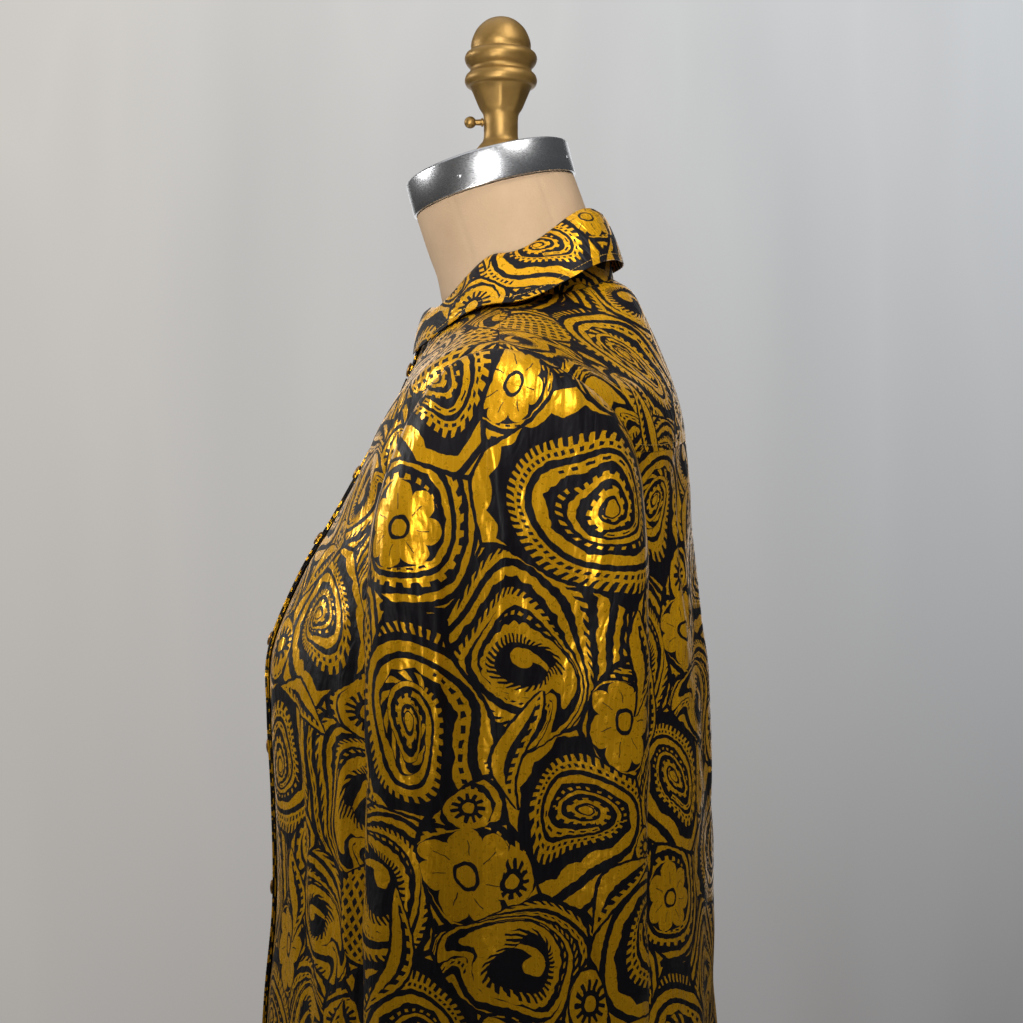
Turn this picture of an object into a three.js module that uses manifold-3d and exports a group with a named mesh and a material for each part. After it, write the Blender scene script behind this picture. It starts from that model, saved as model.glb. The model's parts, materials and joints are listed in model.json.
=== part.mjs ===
// A long-sleeved paisley blouse with a small fold-over shirt collar and a back yoke, worn on a
// limbless dress form. Millimetres, +Z up. The origin is the centre of the stand's underside, on the
// floor; the wearer faces -Y and the wearer's left is +X.
import * as THREE from "three";
import { mergeVertices } from "three/addons/utils/BufferGeometryUtils.js";
import Module from "manifold-3d";

const wasm = await Module();
wasm.setup();

// ---------------------------------------------------------------- driving dimensions

// A table as a list of rows, each an object with the named columns.
function table(columns, rows) {
  const names = columns.split(" ");
  return rows.map((row) => Object.fromEntries(names.map((name, i) => [name, row[i]])));
}

const CLOTH = 1.2; // thickness of every cloth wall
const SEAM = 0.35; // clearance between two pieces that meet at a seam

// The blouse's body as level rings, from the neckline to the hem. side, front and back are the
// ring's reach from the axis; sideZ, frontZ and backZ its heights there; frontDip and backDip how
// far it sags between them; fold is the depth of the soft hanging folds.
const BODY_RINGS = table("side front back sideZ frontZ backZ frontDip backDip fold", [
  [66, 63, 79, 1342, 1290, 1362, 0, 2, 0],
  [98, 67.5, 92, 1329, 1279, 1353, -2, 10, 0],
  [135, 73.5, 102, 1316, 1267, 1333, -3, 17, 0],
  [172, 79, 111, 1303, 1256, 1312, -4, 20, 0],
  [200, 87, 119, 1294, 1243, 1290, -3, 18, 0],
  [203, 98, 127, 1262, 1223, 1260, 0, 8, 0.5],
  [188, 115, 132, 1213, 1193, 1218, 0, 0, 1.5],
  [177, 137.5, 136, 1160, 1155, 1165, 0, 0, 2.5],
  [172, 158, 143, 1105, 1105, 1105, 0, 0, 3],
  [173, 159, 146, 1060, 1060, 1060, 0, 0, 3.5],
  [176, 156, 148, 1000, 1000, 1000, 0, 0, 4],
  [182, 155, 149, 930, 930, 930, 0, 0, 5],
  [188, 161, 150, 860, 860, 860, 0, 0, 6],
  [194, 165, 155, 775, 775, 775, 0, 0, 7],
  [198, 167, 160, 680, 680, 680, 0, 0, 8],
]);
const BODY_FOLDS = { count: 11, clearFrom: 12, clearTo: 40, drift: 0.3, shift: 15 };
const HEM_LEVEL = BODY_RINGS.length - 1;

// The armhole runs round the side of the body, from the shoulder point to the underarm.
const ARMHOLE = { topLevel: 4, lowLevel: 8, frontAngle: 39, backAngle: 41.5, segments: 24 };
const YOKE_SEAM_STEP = 5; // the yoke seam meets the armhole this many armhole segments down its back
const YOKE_SEAM_RISE = 0.22; // how many levels the seam rises from the armhole to the centre back
const YOKE_SEAM_SPREAD = { full: 0, none: 1.5 }; // levels from the seam over which its rise dies away

// The right front closes over the left: how far each runs past the centre, and how far the upper one
// is lifted there, fading out this far from the centre.
const FRONT_OVERLAP = { under: 12, over: 14, lift: 2.2, fade: 45 };
const PLACKET_WIDTH = 28;
const PLACKET_TOP = 0.12; // the level at which the placket strip starts, just clear of the collar stand
const PLACKET_LIFT = FRONT_OVERLAP.lift + SEAM + CLOTH; // the placket strip's outer face

// The left sleeve as rings from the armhole to the cuff seam: its outermost (top) and innermost
// (under) lines, and how far it reaches to the front and back. The right sleeve is its mirror image.
const SLEEVE_RINGS = table("topX topZ underX underZ frontY backY ridge", [
  [200.5, 1294, 172.5, 1105, -75, 88, 0],
  [213, 1291, 176, 1099, -77, 89, 0.5],
  [225, 1275, 178, 1088, -78, 89, 2],
  [233, 1244, 180, 1070, -78, 88, 4],
  [237, 1200, 181, 1046, -77, 88, 5],
  [239, 1145, 183, 1012, -77, 87, 5.5],
  [240, 1085, 185, 972, -77, 87, 4.5],
  [242, 1024, 188, 928, -77, 86, 5.5],
  [245, 966, 192, 886, -77, 86, 5],
  [249, 912, 197, 852, -75, 85, 5],
  [253, 868, 202, 832, -71, 82, 5],
  [256, 838, 206, 818, -66, 77, 5],
  [255, 816, 211, 806, -60, 69, 4],
  [250, 799, 217, 798, -53, 60, 2],
]);
// The sleeve's main hanging creases, by the angle round it from its outermost line towards the front.
const SLEEVE_CREASES = table("angle height width", [
  [0, 1.3, 13],
  [30, -0.9, 13],
  [58, 0.7, 14],
  [-32, -1.0, 15],
  [-62, 0.6, 14],
  [125, 0.7, 15],
  [180, -0.9, 16],
  [-120, 0.7, 15],
]);
const CAP_REACH = 4.5; // rings over which the sleeve's section eases out of the armhole's shape
const SLEEVE_SHIFT = 0.5; // the sleeve starts this far outside the armhole's edge
const SLEEVE_ROWS = 17;
const CREASE_LEAN = 0.35; // how much a crease on the sleeve's front or back swells to the front or back

const CUFF = { outX: 251, inX: 217, frontY: -53, backY: 60, topZ: 797.4, lowZ: 741 };

// The collar stand rises from the neckline to the fold line; the fall turns over it, from the roll
// down to its free edge.
const STAND_RINGS = table("side front back sideZ frontZ backZ frontDip backDip", [
  [66, 63, 79, 1342.5, 1292, 1362.5, 0, 2],
  [64, 56, 74.5, 1356, 1314.5, 1384, 7, -3],
  [61, 48, 67.5, 1369, 1339, 1406, 13, -10],
]);
// Its right end laps over its left one at the neck button; fadeFrom and fadeTo are the angles between
// which the lap lifts.
const STAND_OVERLAP = { under: 10, over: 12, lift: 2.2, fadeFrom: 310, fadeTo: 350 };
const FALL_RINGS = table("side front back sideZ frontZ backZ frontDip backDip", [
  [61.5, 50, 67.5, 1371.5, 1342, 1408.5, 13, -10],
  [67, 55, 73.5, 1367, 1337, 1404, 12, -10],
  [80, 59.5, 81, 1350.5, 1323, 1388, 9, -10],
  [93, 61.5, 86, 1335, 1309, 1372, 5, -9],
]);
const FALL_OPEN_ANGLE = 7; // the collar's ends stand this far either side of the centre front
const STAND_ROWS = 5;
const STAND_COLUMNS = 37;
const FALL_ROWS = 7;
const FALL_COLUMNS = 33;

const BUTTON = { radius: 5.2, thickness: 3.6 };
// A button's domed profile, as shares of its radius and thickness.
const BUTTON_PROFILE = table("r z", [
  [0, 0],
  [0.8, 0],
  [1, 0.35],
  [0.9, 0.75],
  [0.5, 1],
  [0, 1],
]);
const BUTTON_SEGMENTS = 12;
const NECK_BUTTON_HEIGHT = 0.14; // share of the stand's height at which the neck button sits
const FRONT_BUTTONS = { count: 6, firstLevel: 4.9, lastLevel: 12.4 }; // spaced by levels of the body
const CUFF_BUTTON_ANGLE = -55; // on the back of the cuff, by the angle round it from its outermost line

// The dress form's own body, from the neck's top to its flat underside. mid is how far the ring's
// sides lie behind the axis, and plane the share of the ring that lies in one tilted plane.
const FORM_RINGS = table("side front back mid sideZ frontZ backZ backDip plane", [
  [55, 59, 51, -4, 1420, 1405.3, 1434.7, 0, 1],
  [55.5, 51, 60, 4, 1396, 1381, 1410, 0, 1],
  [57, 44, 67, 9, 1374, 1361, 1388, 0, 0.7],
  [60, 42, 72, 9, 1353, 1341, 1366, 0, 0.3],
  [63.2, 49, 78.5, 7, 1341, 1318, 1356, 9, 0],
  [98, 55.5, 88, 4, 1327.2, 1300, 1348, 14, 0],
  [135, 61, 96, 1, 1313.8, 1284, 1332, 22, 0],
  [160, 66, 103, 0, 1304, 1271, 1316, 24, 0],
  [177, 73, 110, 0, 1292, 1260, 1301, 21, 0],
  [186, 79, 116, 0, 1273, 1248, 1282, 18, 0],
  [186, 87, 121, 0, 1248, 1233, 1257, 10, 0],
  [178, 102, 126, 0, 1210, 1205, 1213, 3, 0],
  [164, 127, 127, 0, 1160, 1160, 1160, 0, 0],
  [156, 149, 122, 0, 1112, 1112, 1112, 0, 0],
  [147, 140, 113, 0, 1060, 1060, 1060, 0, 0],
  [130, 113, 99, 0, 1000, 1000, 1000, 0, 0],
  [119, 99, 89, 0, 955, 955, 955, 0, 0],
  [138, 108, 107, 0, 895, 895, 895, 0, 0],
  [158, 117, 128, 0, 825, 825, 825, 0, 0],
  [168, 118, 136, 0, 765, 765, 765, 0, 0],
  [167, 115, 130, 0, 700, 700, 700, 0, 0],
  [160, 108, 120, 0, 640, 640, 640, 0, 0],
]);
const FORM_SEGMENTS = 32;
const TORSO_BOTTOM = FORM_RINGS[FORM_RINGS.length - 1].sideZ;

// The metal cap of the neck leans forward with it. A short upright boss on it levels the finial.
const NECK_BAND = { radius: 58.5, height: 24, bevel: 1, dome: 1.5, centreY: -4, lowZ: 1420.4, lean: 15 };
const NECK_BOSS = { radius: 15, topZ: 1452, sunk: 12 };
const FINIAL_SEGMENTS = 20;
const FINIAL_PROFILE = table("r z", [
  [17, 1452.3],
  [17, 1455],
  [13, 1458],
  [12, 1462],
  [12, 1478],
  [15.5, 1482],
  [18, 1489],
  [21.5, 1497],
  [24.7, 1498.6],
  [25.5, 1501.5],
  [24.7, 1504.6],
  [22, 1508],
  [22, 1511],
  [24.7, 1514],
  [25.5, 1517],
  [24.7, 1520],
  [21, 1522.5],
  [21, 1526],
  [19.6, 1532],
  [16.4, 1538],
  [11, 1543],
  [5.5, 1545.4],
]);
const FINIAL_TOP = 1546;
// The thumb screw turns in a blind hole in the finial's stem.
const THUMB_SCREW = { shaft: 2, hole: 2.4, innerY: -4, ballY: -21.5, ball: 4.2, height: 1472.5 };
const SCREW_SEGMENTS = 12;

const ROUND_SEGMENTS = 40; // sides of the neck band and the base
const POLE = { radius: 14, flangeRadius: 45, flangeThickness: 8, lowZ: 34.3, segments: 24 };
const BASE_PROFILE = table("r z", [
  [0, 0],
  [212, 0],
  [215, 3],
  [215, 8],
  [209, 12],
  [107, 18],
  [38, 21],
  [32, 26],
  [32, 34],
  [0, 34],
]);

// ---------------------------------------------------------------- materials

function material(name, colour, roughness, metalness) {
  return new THREE.MeshStandardMaterial({ name, color: colour, roughness, metalness });
}
const PRINTED_SATIN = material("printed_satin", 0x9c6f14, 0.45, 0.15);
const BUTTON_GOLD = material("button_gold", 0xb98a22, 0.35, 0.5);
const CANVAS = material("canvas", 0xb8a184, 0.9, 0);
const BRUSHED_METAL = material("brushed_metal", 0xb9b9b4, 0.35, 0.9);
const AGED_BRASS = material("aged_brass", 0x6f4f24, 0.4, 0.85);
const PAINTED_STEEL = material("painted_steel", 0x2a2a2c, 0.5, 0.4);

// ---------------------------------------------------------------- surfaces

const radians = THREE.MathUtils.degToRad;
const degrees = THREE.MathUtils.radToDeg;
const smooth = THREE.MathUtils.smoothstep;

// One column of a table of rings at any level, on a smooth curve through its rows.
function along(rings, key, level) {
  const last = rings.length - 1;
  const i = THREE.MathUtils.clamp(Math.floor(level), 0, last - 1);
  const t = level - i;
  const row = (k) => rings[k][key] ?? 0;
  const a = row(i);
  const b = row(i + 1);
  const before = i > 0 ? row(i - 1) : 2 * a - b;
  const after = i + 2 <= last ? row(i + 2) : 2 * b - a;
  const startSlope = (b - before) / 2;
  const endSlope = (after - a) / 2;
  const t2 = t * t;
  const t3 = t2 * t;
  return (
    a * (2 * t3 - 3 * t2 + 1) +
    startSlope * (t3 - 2 * t2 + t) +
    b * (3 * t2 - 2 * t3) +
    endSlope * (t3 - t2)
  );
}

// A point of a ringed surface. The angle is 0 at the centre front, 90 at the wearer's left side and
// 180 at the centre back.
function ringPoint(rings, level, angle) {
  const column = (key) => along(rings, key, level);
  const s = Math.sin(radians(angle));
  const c = Math.cos(radians(angle));
  const ahead = c >= 0;
  const reach = ahead ? column("front") : column("back");
  const endZ = ahead ? column("frontZ") : column("backZ");
  const dip = ahead ? column("frontDip") : column("backDip");
  const mid = column("mid");
  const y = mid - (ahead ? reach + mid : reach - mid) * c;
  const draped = column("sideZ") * s * s + endZ * c * c - dip * (2 * s * c) ** 2;
  const lean = (column("backZ") - column("frontZ")) / (column("front") + column("back"));
  const tilted = column("frontZ") + lean * (y + column("front"));
  const z = THREE.MathUtils.lerp(draped, tilted, column("plane"));
  return new THREE.Vector3(column("side") * s, y, z);
}

// The outward normal of a surface given as point(u, v): u is a level and v an angle round it. side is
// 1 where the levels run down and the angle turns to the wearer's left, and -1 where one is reversed.
const LEVEL_STEP = 1e-3;
const ANGLE_STEP = 0.05;
function normalAt(point, u, v, side) {
  const du = point(u + LEVEL_STEP, v).sub(point(u - LEVEL_STEP, v));
  const dv = point(u, v + ANGLE_STEP).sub(point(u, v - ANGLE_STEP));
  return du.cross(dv).normalize().multiplyScalar(side);
}

// The hanging folds of the body: broad ripples that deepen towards the hem, none at the closure.
// Their depth and spacing drift round the body.
function bodyPoint(level, angle) {
  const { count, clearFrom, clearTo, drift, shift } = BODY_FOLDS;
  const point = ringPoint(BODY_RINGS, level, angle);
  const turn = Math.abs(THREE.MathUtils.euclideanModulo(angle + 180, 360) - 180);
  const clearOfClosure = smooth(turn, clearFrom, clearTo);
  const uneven = 1 - drift * (1 - Math.sin(radians(2.3 * turn + 40)));
  const ripple = 0.5 * (1 + Math.cos(radians(count * turn + shift * Math.sin(radians(3 * turn)))));
  const depth = along(BODY_RINGS, "fold", level) * clearOfClosure * uneven * ripple;
  const inward = new THREE.Vector3(point.x, point.y, 0).normalize();
  return point.addScaledVector(inward, -depth);
}
const bodyNormal = (level, angle) => normalAt(bodyPoint, level, angle, 1);
const placketPoint = (level) => bodyPoint(level, 0).addScaledVector(bodyNormal(level, 0), PLACKET_LIFT);

// The armhole's edge: step 0 is the shoulder point, and the steps run down its front and up its back.
function armholeAt(step) {
  const phi = radians((step * 360) / ARMHOLE.segments);
  const middle = (ARMHOLE.topLevel + ARMHOLE.lowLevel) / 2;
  const half = (ARMHOLE.lowLevel - ARMHOLE.topLevel) / 2;
  const reach = Math.sin(phi) >= 0 ? ARMHOLE.frontAngle : ARMHOLE.backAngle;
  return { level: middle - half * Math.cos(phi), angle: 90 - reach * Math.sin(phi) };
}

// How far the armhole cuts in from the side, in degrees, at a level.
function armholeCut(level, reach) {
  const middle = (ARMHOLE.topLevel + ARMHOLE.lowLevel) / 2;
  const half = (ARMHOLE.lowLevel - ARMHOLE.topLevel) / 2;
  const away = (level - middle) / half;
  return Math.abs(away) >= 1 ? 0 : reach * Math.sqrt(1 - away * away);
}

// A point of the sleeve's plain section. The angle is 0 at its outermost line, 90 at its front, 180
// at its underarm line and 270 at its back.
function sleeveSection(ring, angle) {
  const column = (key) => along(SLEEVE_RINGS, key, ring);
  const s = Math.sin(radians(angle));
  const c = Math.cos(radians(angle));
  const midX = (column("topX") + column("underX")) / 2;
  const midZ = (column("topZ") + column("underZ")) / 2;
  const midY = (column("frontY") + column("backY")) / 2;
  return new THREE.Vector3(
    midX + ((column("topX") - column("underX")) / 2) * c,
    midY * s * s + ((column("frontY") - column("backY")) / 2) * s,
    midZ + ((column("topZ") - column("underZ")) / 2) * c,
  );
}

function sleevePoint(ring, angle) {
  const point = sleeveSection(ring, angle);
  const hold = 1 - smooth(ring, 0, CAP_REACH);
  if (hold > 0) {
    const edge = armholeAt((angle * ARMHOLE.segments) / 360);
    const armhole = bodyPoint(edge.level, edge.angle);
    armhole.x += SLEEVE_SHIFT;
    point.addScaledVector(armhole.sub(sleeveSection(0, angle)), hold);
  }
  const depth = along(SLEEVE_RINGS, "ridge", ring);
  const outward = new THREE.Vector3(
    Math.cos(radians(angle)),
    -CREASE_LEAN * Math.sin(radians(angle)),
    0,
  );
  for (const crease of SLEEVE_CREASES) {
    const turn = THREE.MathUtils.euclideanModulo(angle - crease.angle + 180, 360) - 180;
    const swell = depth * crease.height * Math.exp(-((turn / crease.width) ** 2));
    point.addScaledVector(outward, swell);
  }
  return point;
}

// ---------------------------------------------------------------- solids

// Turns a geometry into one closed indexed mesh whose faces point out.
function closed(geometry) {
  geometry.deleteAttribute("normal");
  geometry.deleteAttribute("uv");
  const merged = mergeVertices(geometry, 1e-4);
  const p = merged.getAttribute("position");
  const index = [...merged.index.array];
  let volume = 0;
  for (let i = 0; i < index.length; i += 3) {
    const [a, b, c] = [0, 1, 2].map((k) => new THREE.Vector3().fromBufferAttribute(p, index[i + k]));
    volume += a.dot(b.cross(c));
  }
  if (volume < 0) index.reverse();
  merged.setIndex(index);
  merged.computeVertexNormals();
  return merged;
}

// A wall between two grids of points, outer[row][column] and inner[row][column]. A round wall joins
// its last column to its first; an open one is closed by its four edges.
function wall(outer, inner, round = false) {
  const rows = outer.length;
  const columns = outer[0].length;
  const positions = [...outer.flat(), ...inner.flat()].flatMap((point) => [point.x, point.y, point.z]);
  const at = (layer, row, column) => (layer * rows + row) * columns + (column % columns);
  const index = [];
  const quad = (a, b, c, d) => index.push(a, b, c, a, c, d);
  const spans = round ? columns : columns - 1;
  for (let r = 0; r < rows - 1; r++) {
    for (let c = 0; c < spans; c++) {
      quad(at(0, r, c), at(0, r + 1, c), at(0, r + 1, c + 1), at(0, r, c + 1));
      quad(at(1, r, c), at(1, r, c + 1), at(1, r + 1, c + 1), at(1, r + 1, c));
    }
    if (!round) {
      quad(at(0, r, 0), at(1, r, 0), at(1, r + 1, 0), at(0, r + 1, 0));
      quad(at(0, r, spans), at(0, r + 1, spans), at(1, r + 1, spans), at(1, r, spans));
    }
  }
  for (let c = 0; c < spans; c++) {
    quad(at(0, 0, c), at(0, 0, c + 1), at(1, 0, c + 1), at(1, 0, c));
    quad(at(0, rows - 1, c), at(1, rows - 1, c), at(1, rows - 1, c + 1), at(0, rows - 1, c + 1));
  }
  const geometry = new THREE.BufferGeometry();
  geometry.setAttribute("position", new THREE.Float32BufferAttribute(positions, 3));
  geometry.setIndex(index);
  return closed(geometry);
}

// A cloth piece over part of a surface: levels down it, angles(level) across it, and how far its
// outer face stands off the surface.
function clothPiece(point, side, levels, angles, lift = () => 0, round = false) {
  const outer = [];
  const inner = [];
  for (const level of levels) {
    const row = angles(level).map((angle) => ({
      place: point(level, angle),
      normal: normalAt(point, level, angle, side),
      lift: lift(level, angle),
    }));
    outer.push(row.map((p) => p.place.clone().addScaledVector(p.normal, p.lift)));
    inner.push(row.map((p) => p.place.clone().addScaledVector(p.normal, p.lift - CLOTH)));
  }
  return wall(outer, inner, round);
}

// A lathe about +Z through a profile of radii and heights.
function turned(profile, segments) {
  const points = profile.map(({ r, z }) => new THREE.Vector2(r, z));
  return closed(new THREE.LatheGeometry(points, segments).rotateX(Math.PI / 2));
}

function toSolid(geometry) {
  const merged = closed(geometry.clone());
  return new wasm.Manifold(
    new wasm.Mesh({
      numProp: 3,
      vertProperties: new Float32Array(merged.getAttribute("position").array),
      triVerts: new Uint32Array(merged.index.array),
    }),
  );
}

function fromSolid(solid) {
  const mesh = solid.getMesh();
  const geometry = new THREE.BufferGeometry();
  geometry.setAttribute("position", new THREE.BufferAttribute(new Float32Array(mesh.vertProperties), 3));
  geometry.setIndex([...mesh.triVerts]);
  return closed(geometry);
}

function mirrored(geometry) {
  return closed(geometry.clone().scale(-1, 1, 1));
}

function spread(from, to, count) {
  return Array.from({ length: count }, (_, i) => THREE.MathUtils.lerp(from, to, i / (count - 1)));
}

const blouse = new THREE.Group();
const dressForm = new THREE.Group();
function add(group, name, geometry, finish) {
  const mesh = new THREE.Mesh(geometry, finish);
  mesh.name = name;
  group.add(mesh);
  return mesh;
}

// ---------------------------------------------------------------- the body of the blouse

const ARMHOLE_LEVELS = spread(0, ARMHOLE.segments / 2, ARMHOLE.segments / 2 + 1).map(
  (step) => armholeAt(step).level,
);
const YOKE_SEAM_LEVEL = ARMHOLE_LEVELS[YOKE_SEAM_STEP];
const BUST_LEVEL = 8.5; // one more row where the body turns from the bust to hang straight
const BODY_START = 9; // the first whole level below the armhole's rows
const FRONT_COLUMNS = 12;
const YOKE_COLUMNS = 19;
const BACK_COLUMNS = 23;
const BODY_LEVELS = spread(BODY_START, HEM_LEVEL, HEM_LEVEL - BODY_START + 1);
const SHOULDER_LEVELS = [0, 1, 2, 3];
const FRONT_LEVELS = [...SHOULDER_LEVELS, ...ARMHOLE_LEVELS, BUST_LEVEL, ...BODY_LEVELS];
const SEAM_LEVEL = 0.004; // levels that clear two panels at a seam across the body

// Half the clearance of a side or shoulder seam, in degrees: reach is the ring's column on its side.
function seamTurn(level, reach) {
  return degrees(SEAM / 2 / along(BODY_RINGS, reach, level));
}

// The angle at which the body's surface lies a distance to the wearer's left of the centre front.
function angleAcross(distance, level) {
  return degrees(Math.asin(distance / along(BODY_RINGS, "side", level)));
}

function buildFronts() {
  const { under, over, lift, fade } = FRONT_OVERLAP;
  const armholeEdge = (level) => 90 - seamTurn(level, "front") - armholeCut(level, ARMHOLE.frontAngle);
  const left = clothPiece(bodyPoint, 1, FRONT_LEVELS, (level) =>
    spread(angleAcross(-under, level), armholeEdge(level), FRONT_COLUMNS),
  );
  add(blouse, "front_left", left, PRINTED_SATIN);

  const overlapLift = (level, angle) => {
    const across = -along(BODY_RINGS, "side", level) * Math.sin(radians(angle));
    return lift * (1 - smooth(across, over, fade));
  };
  const right = clothPiece(
    bodyPoint,
    1,
    FRONT_LEVELS,
    (level) => [
      angleAcross(over, level),
      0,
      ...spread(angleAcross(-over, level), -armholeEdge(level), FRONT_COLUMNS - 2),
    ],
    overlapLift,
  );
  add(blouse, "front_right", right, PRINTED_SATIN);

  // The placket strip lies on the right front's edge, from the neckline to the hem.
  const half = PLACKET_WIDTH / 2;
  const strip = clothPiece(
    bodyPoint,
    1,
    [PLACKET_TOP, ...FRONT_LEVELS.slice(1)],
    (level) => spread(angleAcross(half, level), angleAcross(-half, level), 3),
    () => PLACKET_LIFT,
  );
  add(blouse, "placket", strip, PRINTED_SATIN);
}

// The seam between yoke and back climbs a little from each armhole to the centre back.
function yokeSeam(angle) {
  const fromCentre = THREE.MathUtils.clamp(Math.abs(angle - 180) / (90 - ARMHOLE.backAngle), 0, 1);
  return YOKE_SEAM_LEVEL - YOKE_SEAM_RISE * Math.cos((fromCentre * Math.PI) / 2) ** 2;
}

function backPoint(level, angle) {
  const { full, none } = YOKE_SEAM_SPREAD;
  const hold = 1 - smooth(Math.abs(level - YOKE_SEAM_LEVEL), full, none);
  return bodyPoint(level + (yokeSeam(angle) - YOKE_SEAM_LEVEL) * hold, angle);
}

function buildYokeAndBack() {
  const seam = YOKE_SEAM_LEVEL;
  const armholeEdge = (level) => 90 + seamTurn(level, "back") + armholeCut(level, ARMHOLE.backAngle);
  const across = (level, columns) => spread(armholeEdge(level), 360 - armholeEdge(level), columns);

  const yokeLevels = [...SHOULDER_LEVELS, ...ARMHOLE_LEVELS.slice(0, YOKE_SEAM_STEP), seam - SEAM_LEVEL];
  const yoke = clothPiece(backPoint, 1, yokeLevels, (level) => across(level, YOKE_COLUMNS));
  add(blouse, "yoke", yoke, PRINTED_SATIN);

  const armholeRows = ARMHOLE_LEVELS.slice(YOKE_SEAM_STEP + 1);
  const backLevels = [seam + SEAM_LEVEL, ...armholeRows, BUST_LEVEL, ...BODY_LEVELS];
  const back = clothPiece(backPoint, 1, backLevels, (level) => across(level, BACK_COLUMNS));
  add(blouse, "back", back, PRINTED_SATIN);
}

// ---------------------------------------------------------------- sleeves, cuffs, collar, buttons

function buildSleeves() {
  const angles = spread(0, 360, ARMHOLE.segments + 1).slice(0, -1);
  const rings = spread(0, SLEEVE_RINGS.length - 1, SLEEVE_ROWS);
  const sleeve = clothPiece(sleevePoint, -1, rings, () => angles, undefined, true);
  add(blouse, "sleeve_left", sleeve, PRINTED_SATIN);
  add(blouse, "sleeve_right", mirrored(sleeve), PRINTED_SATIN);
}

function cuffPoint(share, angle) {
  const s = Math.sin(radians(angle));
  const c = Math.cos(radians(angle));
  return new THREE.Vector3(
    (CUFF.outX + CUFF.inX) / 2 + ((CUFF.outX - CUFF.inX) / 2) * c,
    (CUFF.frontY + CUFF.backY) / 2 + ((CUFF.frontY - CUFF.backY) / 2) * s,
    THREE.MathUtils.lerp(CUFF.topZ, CUFF.lowZ, share),
  );
}

function buildCuffs() {
  const angles = spread(0, 360, ARMHOLE.segments + 1).slice(0, -1);
  const cuff = clothPiece(cuffPoint, -1, [0, 0.5, 1], () => angles, undefined, true);
  add(blouse, "cuff_left", cuff, PRINTED_SATIN);
  add(blouse, "cuff_right", mirrored(cuff), PRINTED_SATIN);
}

const standPoint = (ring, angle) => ringPoint(STAND_RINGS, ring, angle);
const fallPoint = (ring, angle) => ringPoint(FALL_RINGS, ring, angle);

function buildCollar() {
  const { under, over, lift, fadeFrom, fadeTo } = STAND_OVERLAP;
  const endAngle = (distance, ring) => degrees(Math.asin(distance / along(STAND_RINGS, "side", ring)));
  const stand = clothPiece(
    standPoint,
    -1,
    spread(0, STAND_RINGS.length - 1, STAND_ROWS),
    (ring) => spread(-endAngle(under, ring), 360 + endAngle(over, ring), STAND_COLUMNS),
    (ring, angle) => lift * smooth(angle, fadeFrom, fadeTo),
  );
  add(blouse, "collar_stand", stand, PRINTED_SATIN);

  const fall = clothPiece(fallPoint, 1, spread(0, FALL_RINGS.length - 1, FALL_ROWS), () =>
    spread(FALL_OPEN_ANGLE, 360 - FALL_OPEN_ANGLE, FALL_COLUMNS),
  );
  add(blouse, "collar_fall", fall, PRINTED_SATIN);
}

// A small domed button lying on a surface at a point, facing along its normal.
function button(name, place, normal, lift) {
  const { radius, thickness } = BUTTON;
  const dome = turned(
    BUTTON_PROFILE.map(({ r, z }) => ({ r: r * radius, z: z * thickness })),
    BUTTON_SEGMENTS,
  );
  const mesh = add(blouse, name, dome, BUTTON_GOLD);
  mesh.quaternion.setFromUnitVectors(new THREE.Vector3(0, 0, 1), normal);
  mesh.position.copy(place).addScaledVector(normal, lift);
}

function buildButtons() {
  const neckRing = NECK_BUTTON_HEIGHT * (STAND_RINGS.length - 1);
  button(
    "button_1",
    standPoint(neckRing, 0),
    normalAt(standPoint, neckRing, 0, -1),
    STAND_OVERLAP.lift + SEAM,
  );
  const levels = spread(FRONT_BUTTONS.firstLevel, FRONT_BUTTONS.lastLevel, FRONT_BUTTONS.count);
  levels.forEach((level, i) => {
    const below = FRONT_LEVELS.findIndex((row) => row > level);
    const [start, end] = [FRONT_LEVELS[below - 1], FRONT_LEVELS[below]];
    const [high, low] = [placketPoint(start), placketPoint(end)];
    const place = high.clone().lerp(low, (level - start) / (end - start));
    const normal = low.sub(high).cross(new THREE.Vector3(1, 0, 0)).normalize();
    button(`button_${i + 2}`, place, normal, SEAM);
  });
  const place = cuffPoint(0.5, CUFF_BUTTON_ANGLE);
  const normal = normalAt(cuffPoint, 0.5, CUFF_BUTTON_ANGLE, -1);
  button("cuff_button_left", place, normal, SEAM);
  const flip = new THREE.Vector3(-1, 1, 1);
  button("cuff_button_right", place.clone().multiply(flip), normal.clone().multiply(flip), SEAM);
}

// ---------------------------------------------------------------- the dress form and its stand

function buildFormBody() {
  const rows = FORM_RINGS.map((_, ring) =>
    spread(0, 360, FORM_SEGMENTS + 1)
      .slice(0, -1)
      .map((angle) => ringPoint(FORM_RINGS, ring, angle)),
  );
  const positions = rows.flat().flatMap((p) => [p.x, p.y, p.z]);
  const index = [];
  const at = (row, column) => row * FORM_SEGMENTS + (column % FORM_SEGMENTS);
  for (let r = 0; r < rows.length - 1; r++) {
    for (let c = 0; c < FORM_SEGMENTS; c++) {
      index.push(at(r, c), at(r + 1, c), at(r + 1, c + 1), at(r, c), at(r + 1, c + 1), at(r, c + 1));
    }
  }
  const last = rows.length - 1;
  for (let c = 1; c < FORM_SEGMENTS - 1; c++) {
    index.push(at(0, 0), at(0, c), at(0, c + 1));
    index.push(at(last, 0), at(last, c + 1), at(last, c));
  }
  const geometry = new THREE.BufferGeometry();
  geometry.setAttribute("position", new THREE.Float32BufferAttribute(positions, 3));
  geometry.setIndex(index);
  add(dressForm, "form_body", closed(geometry), CANVAS);
}

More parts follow.
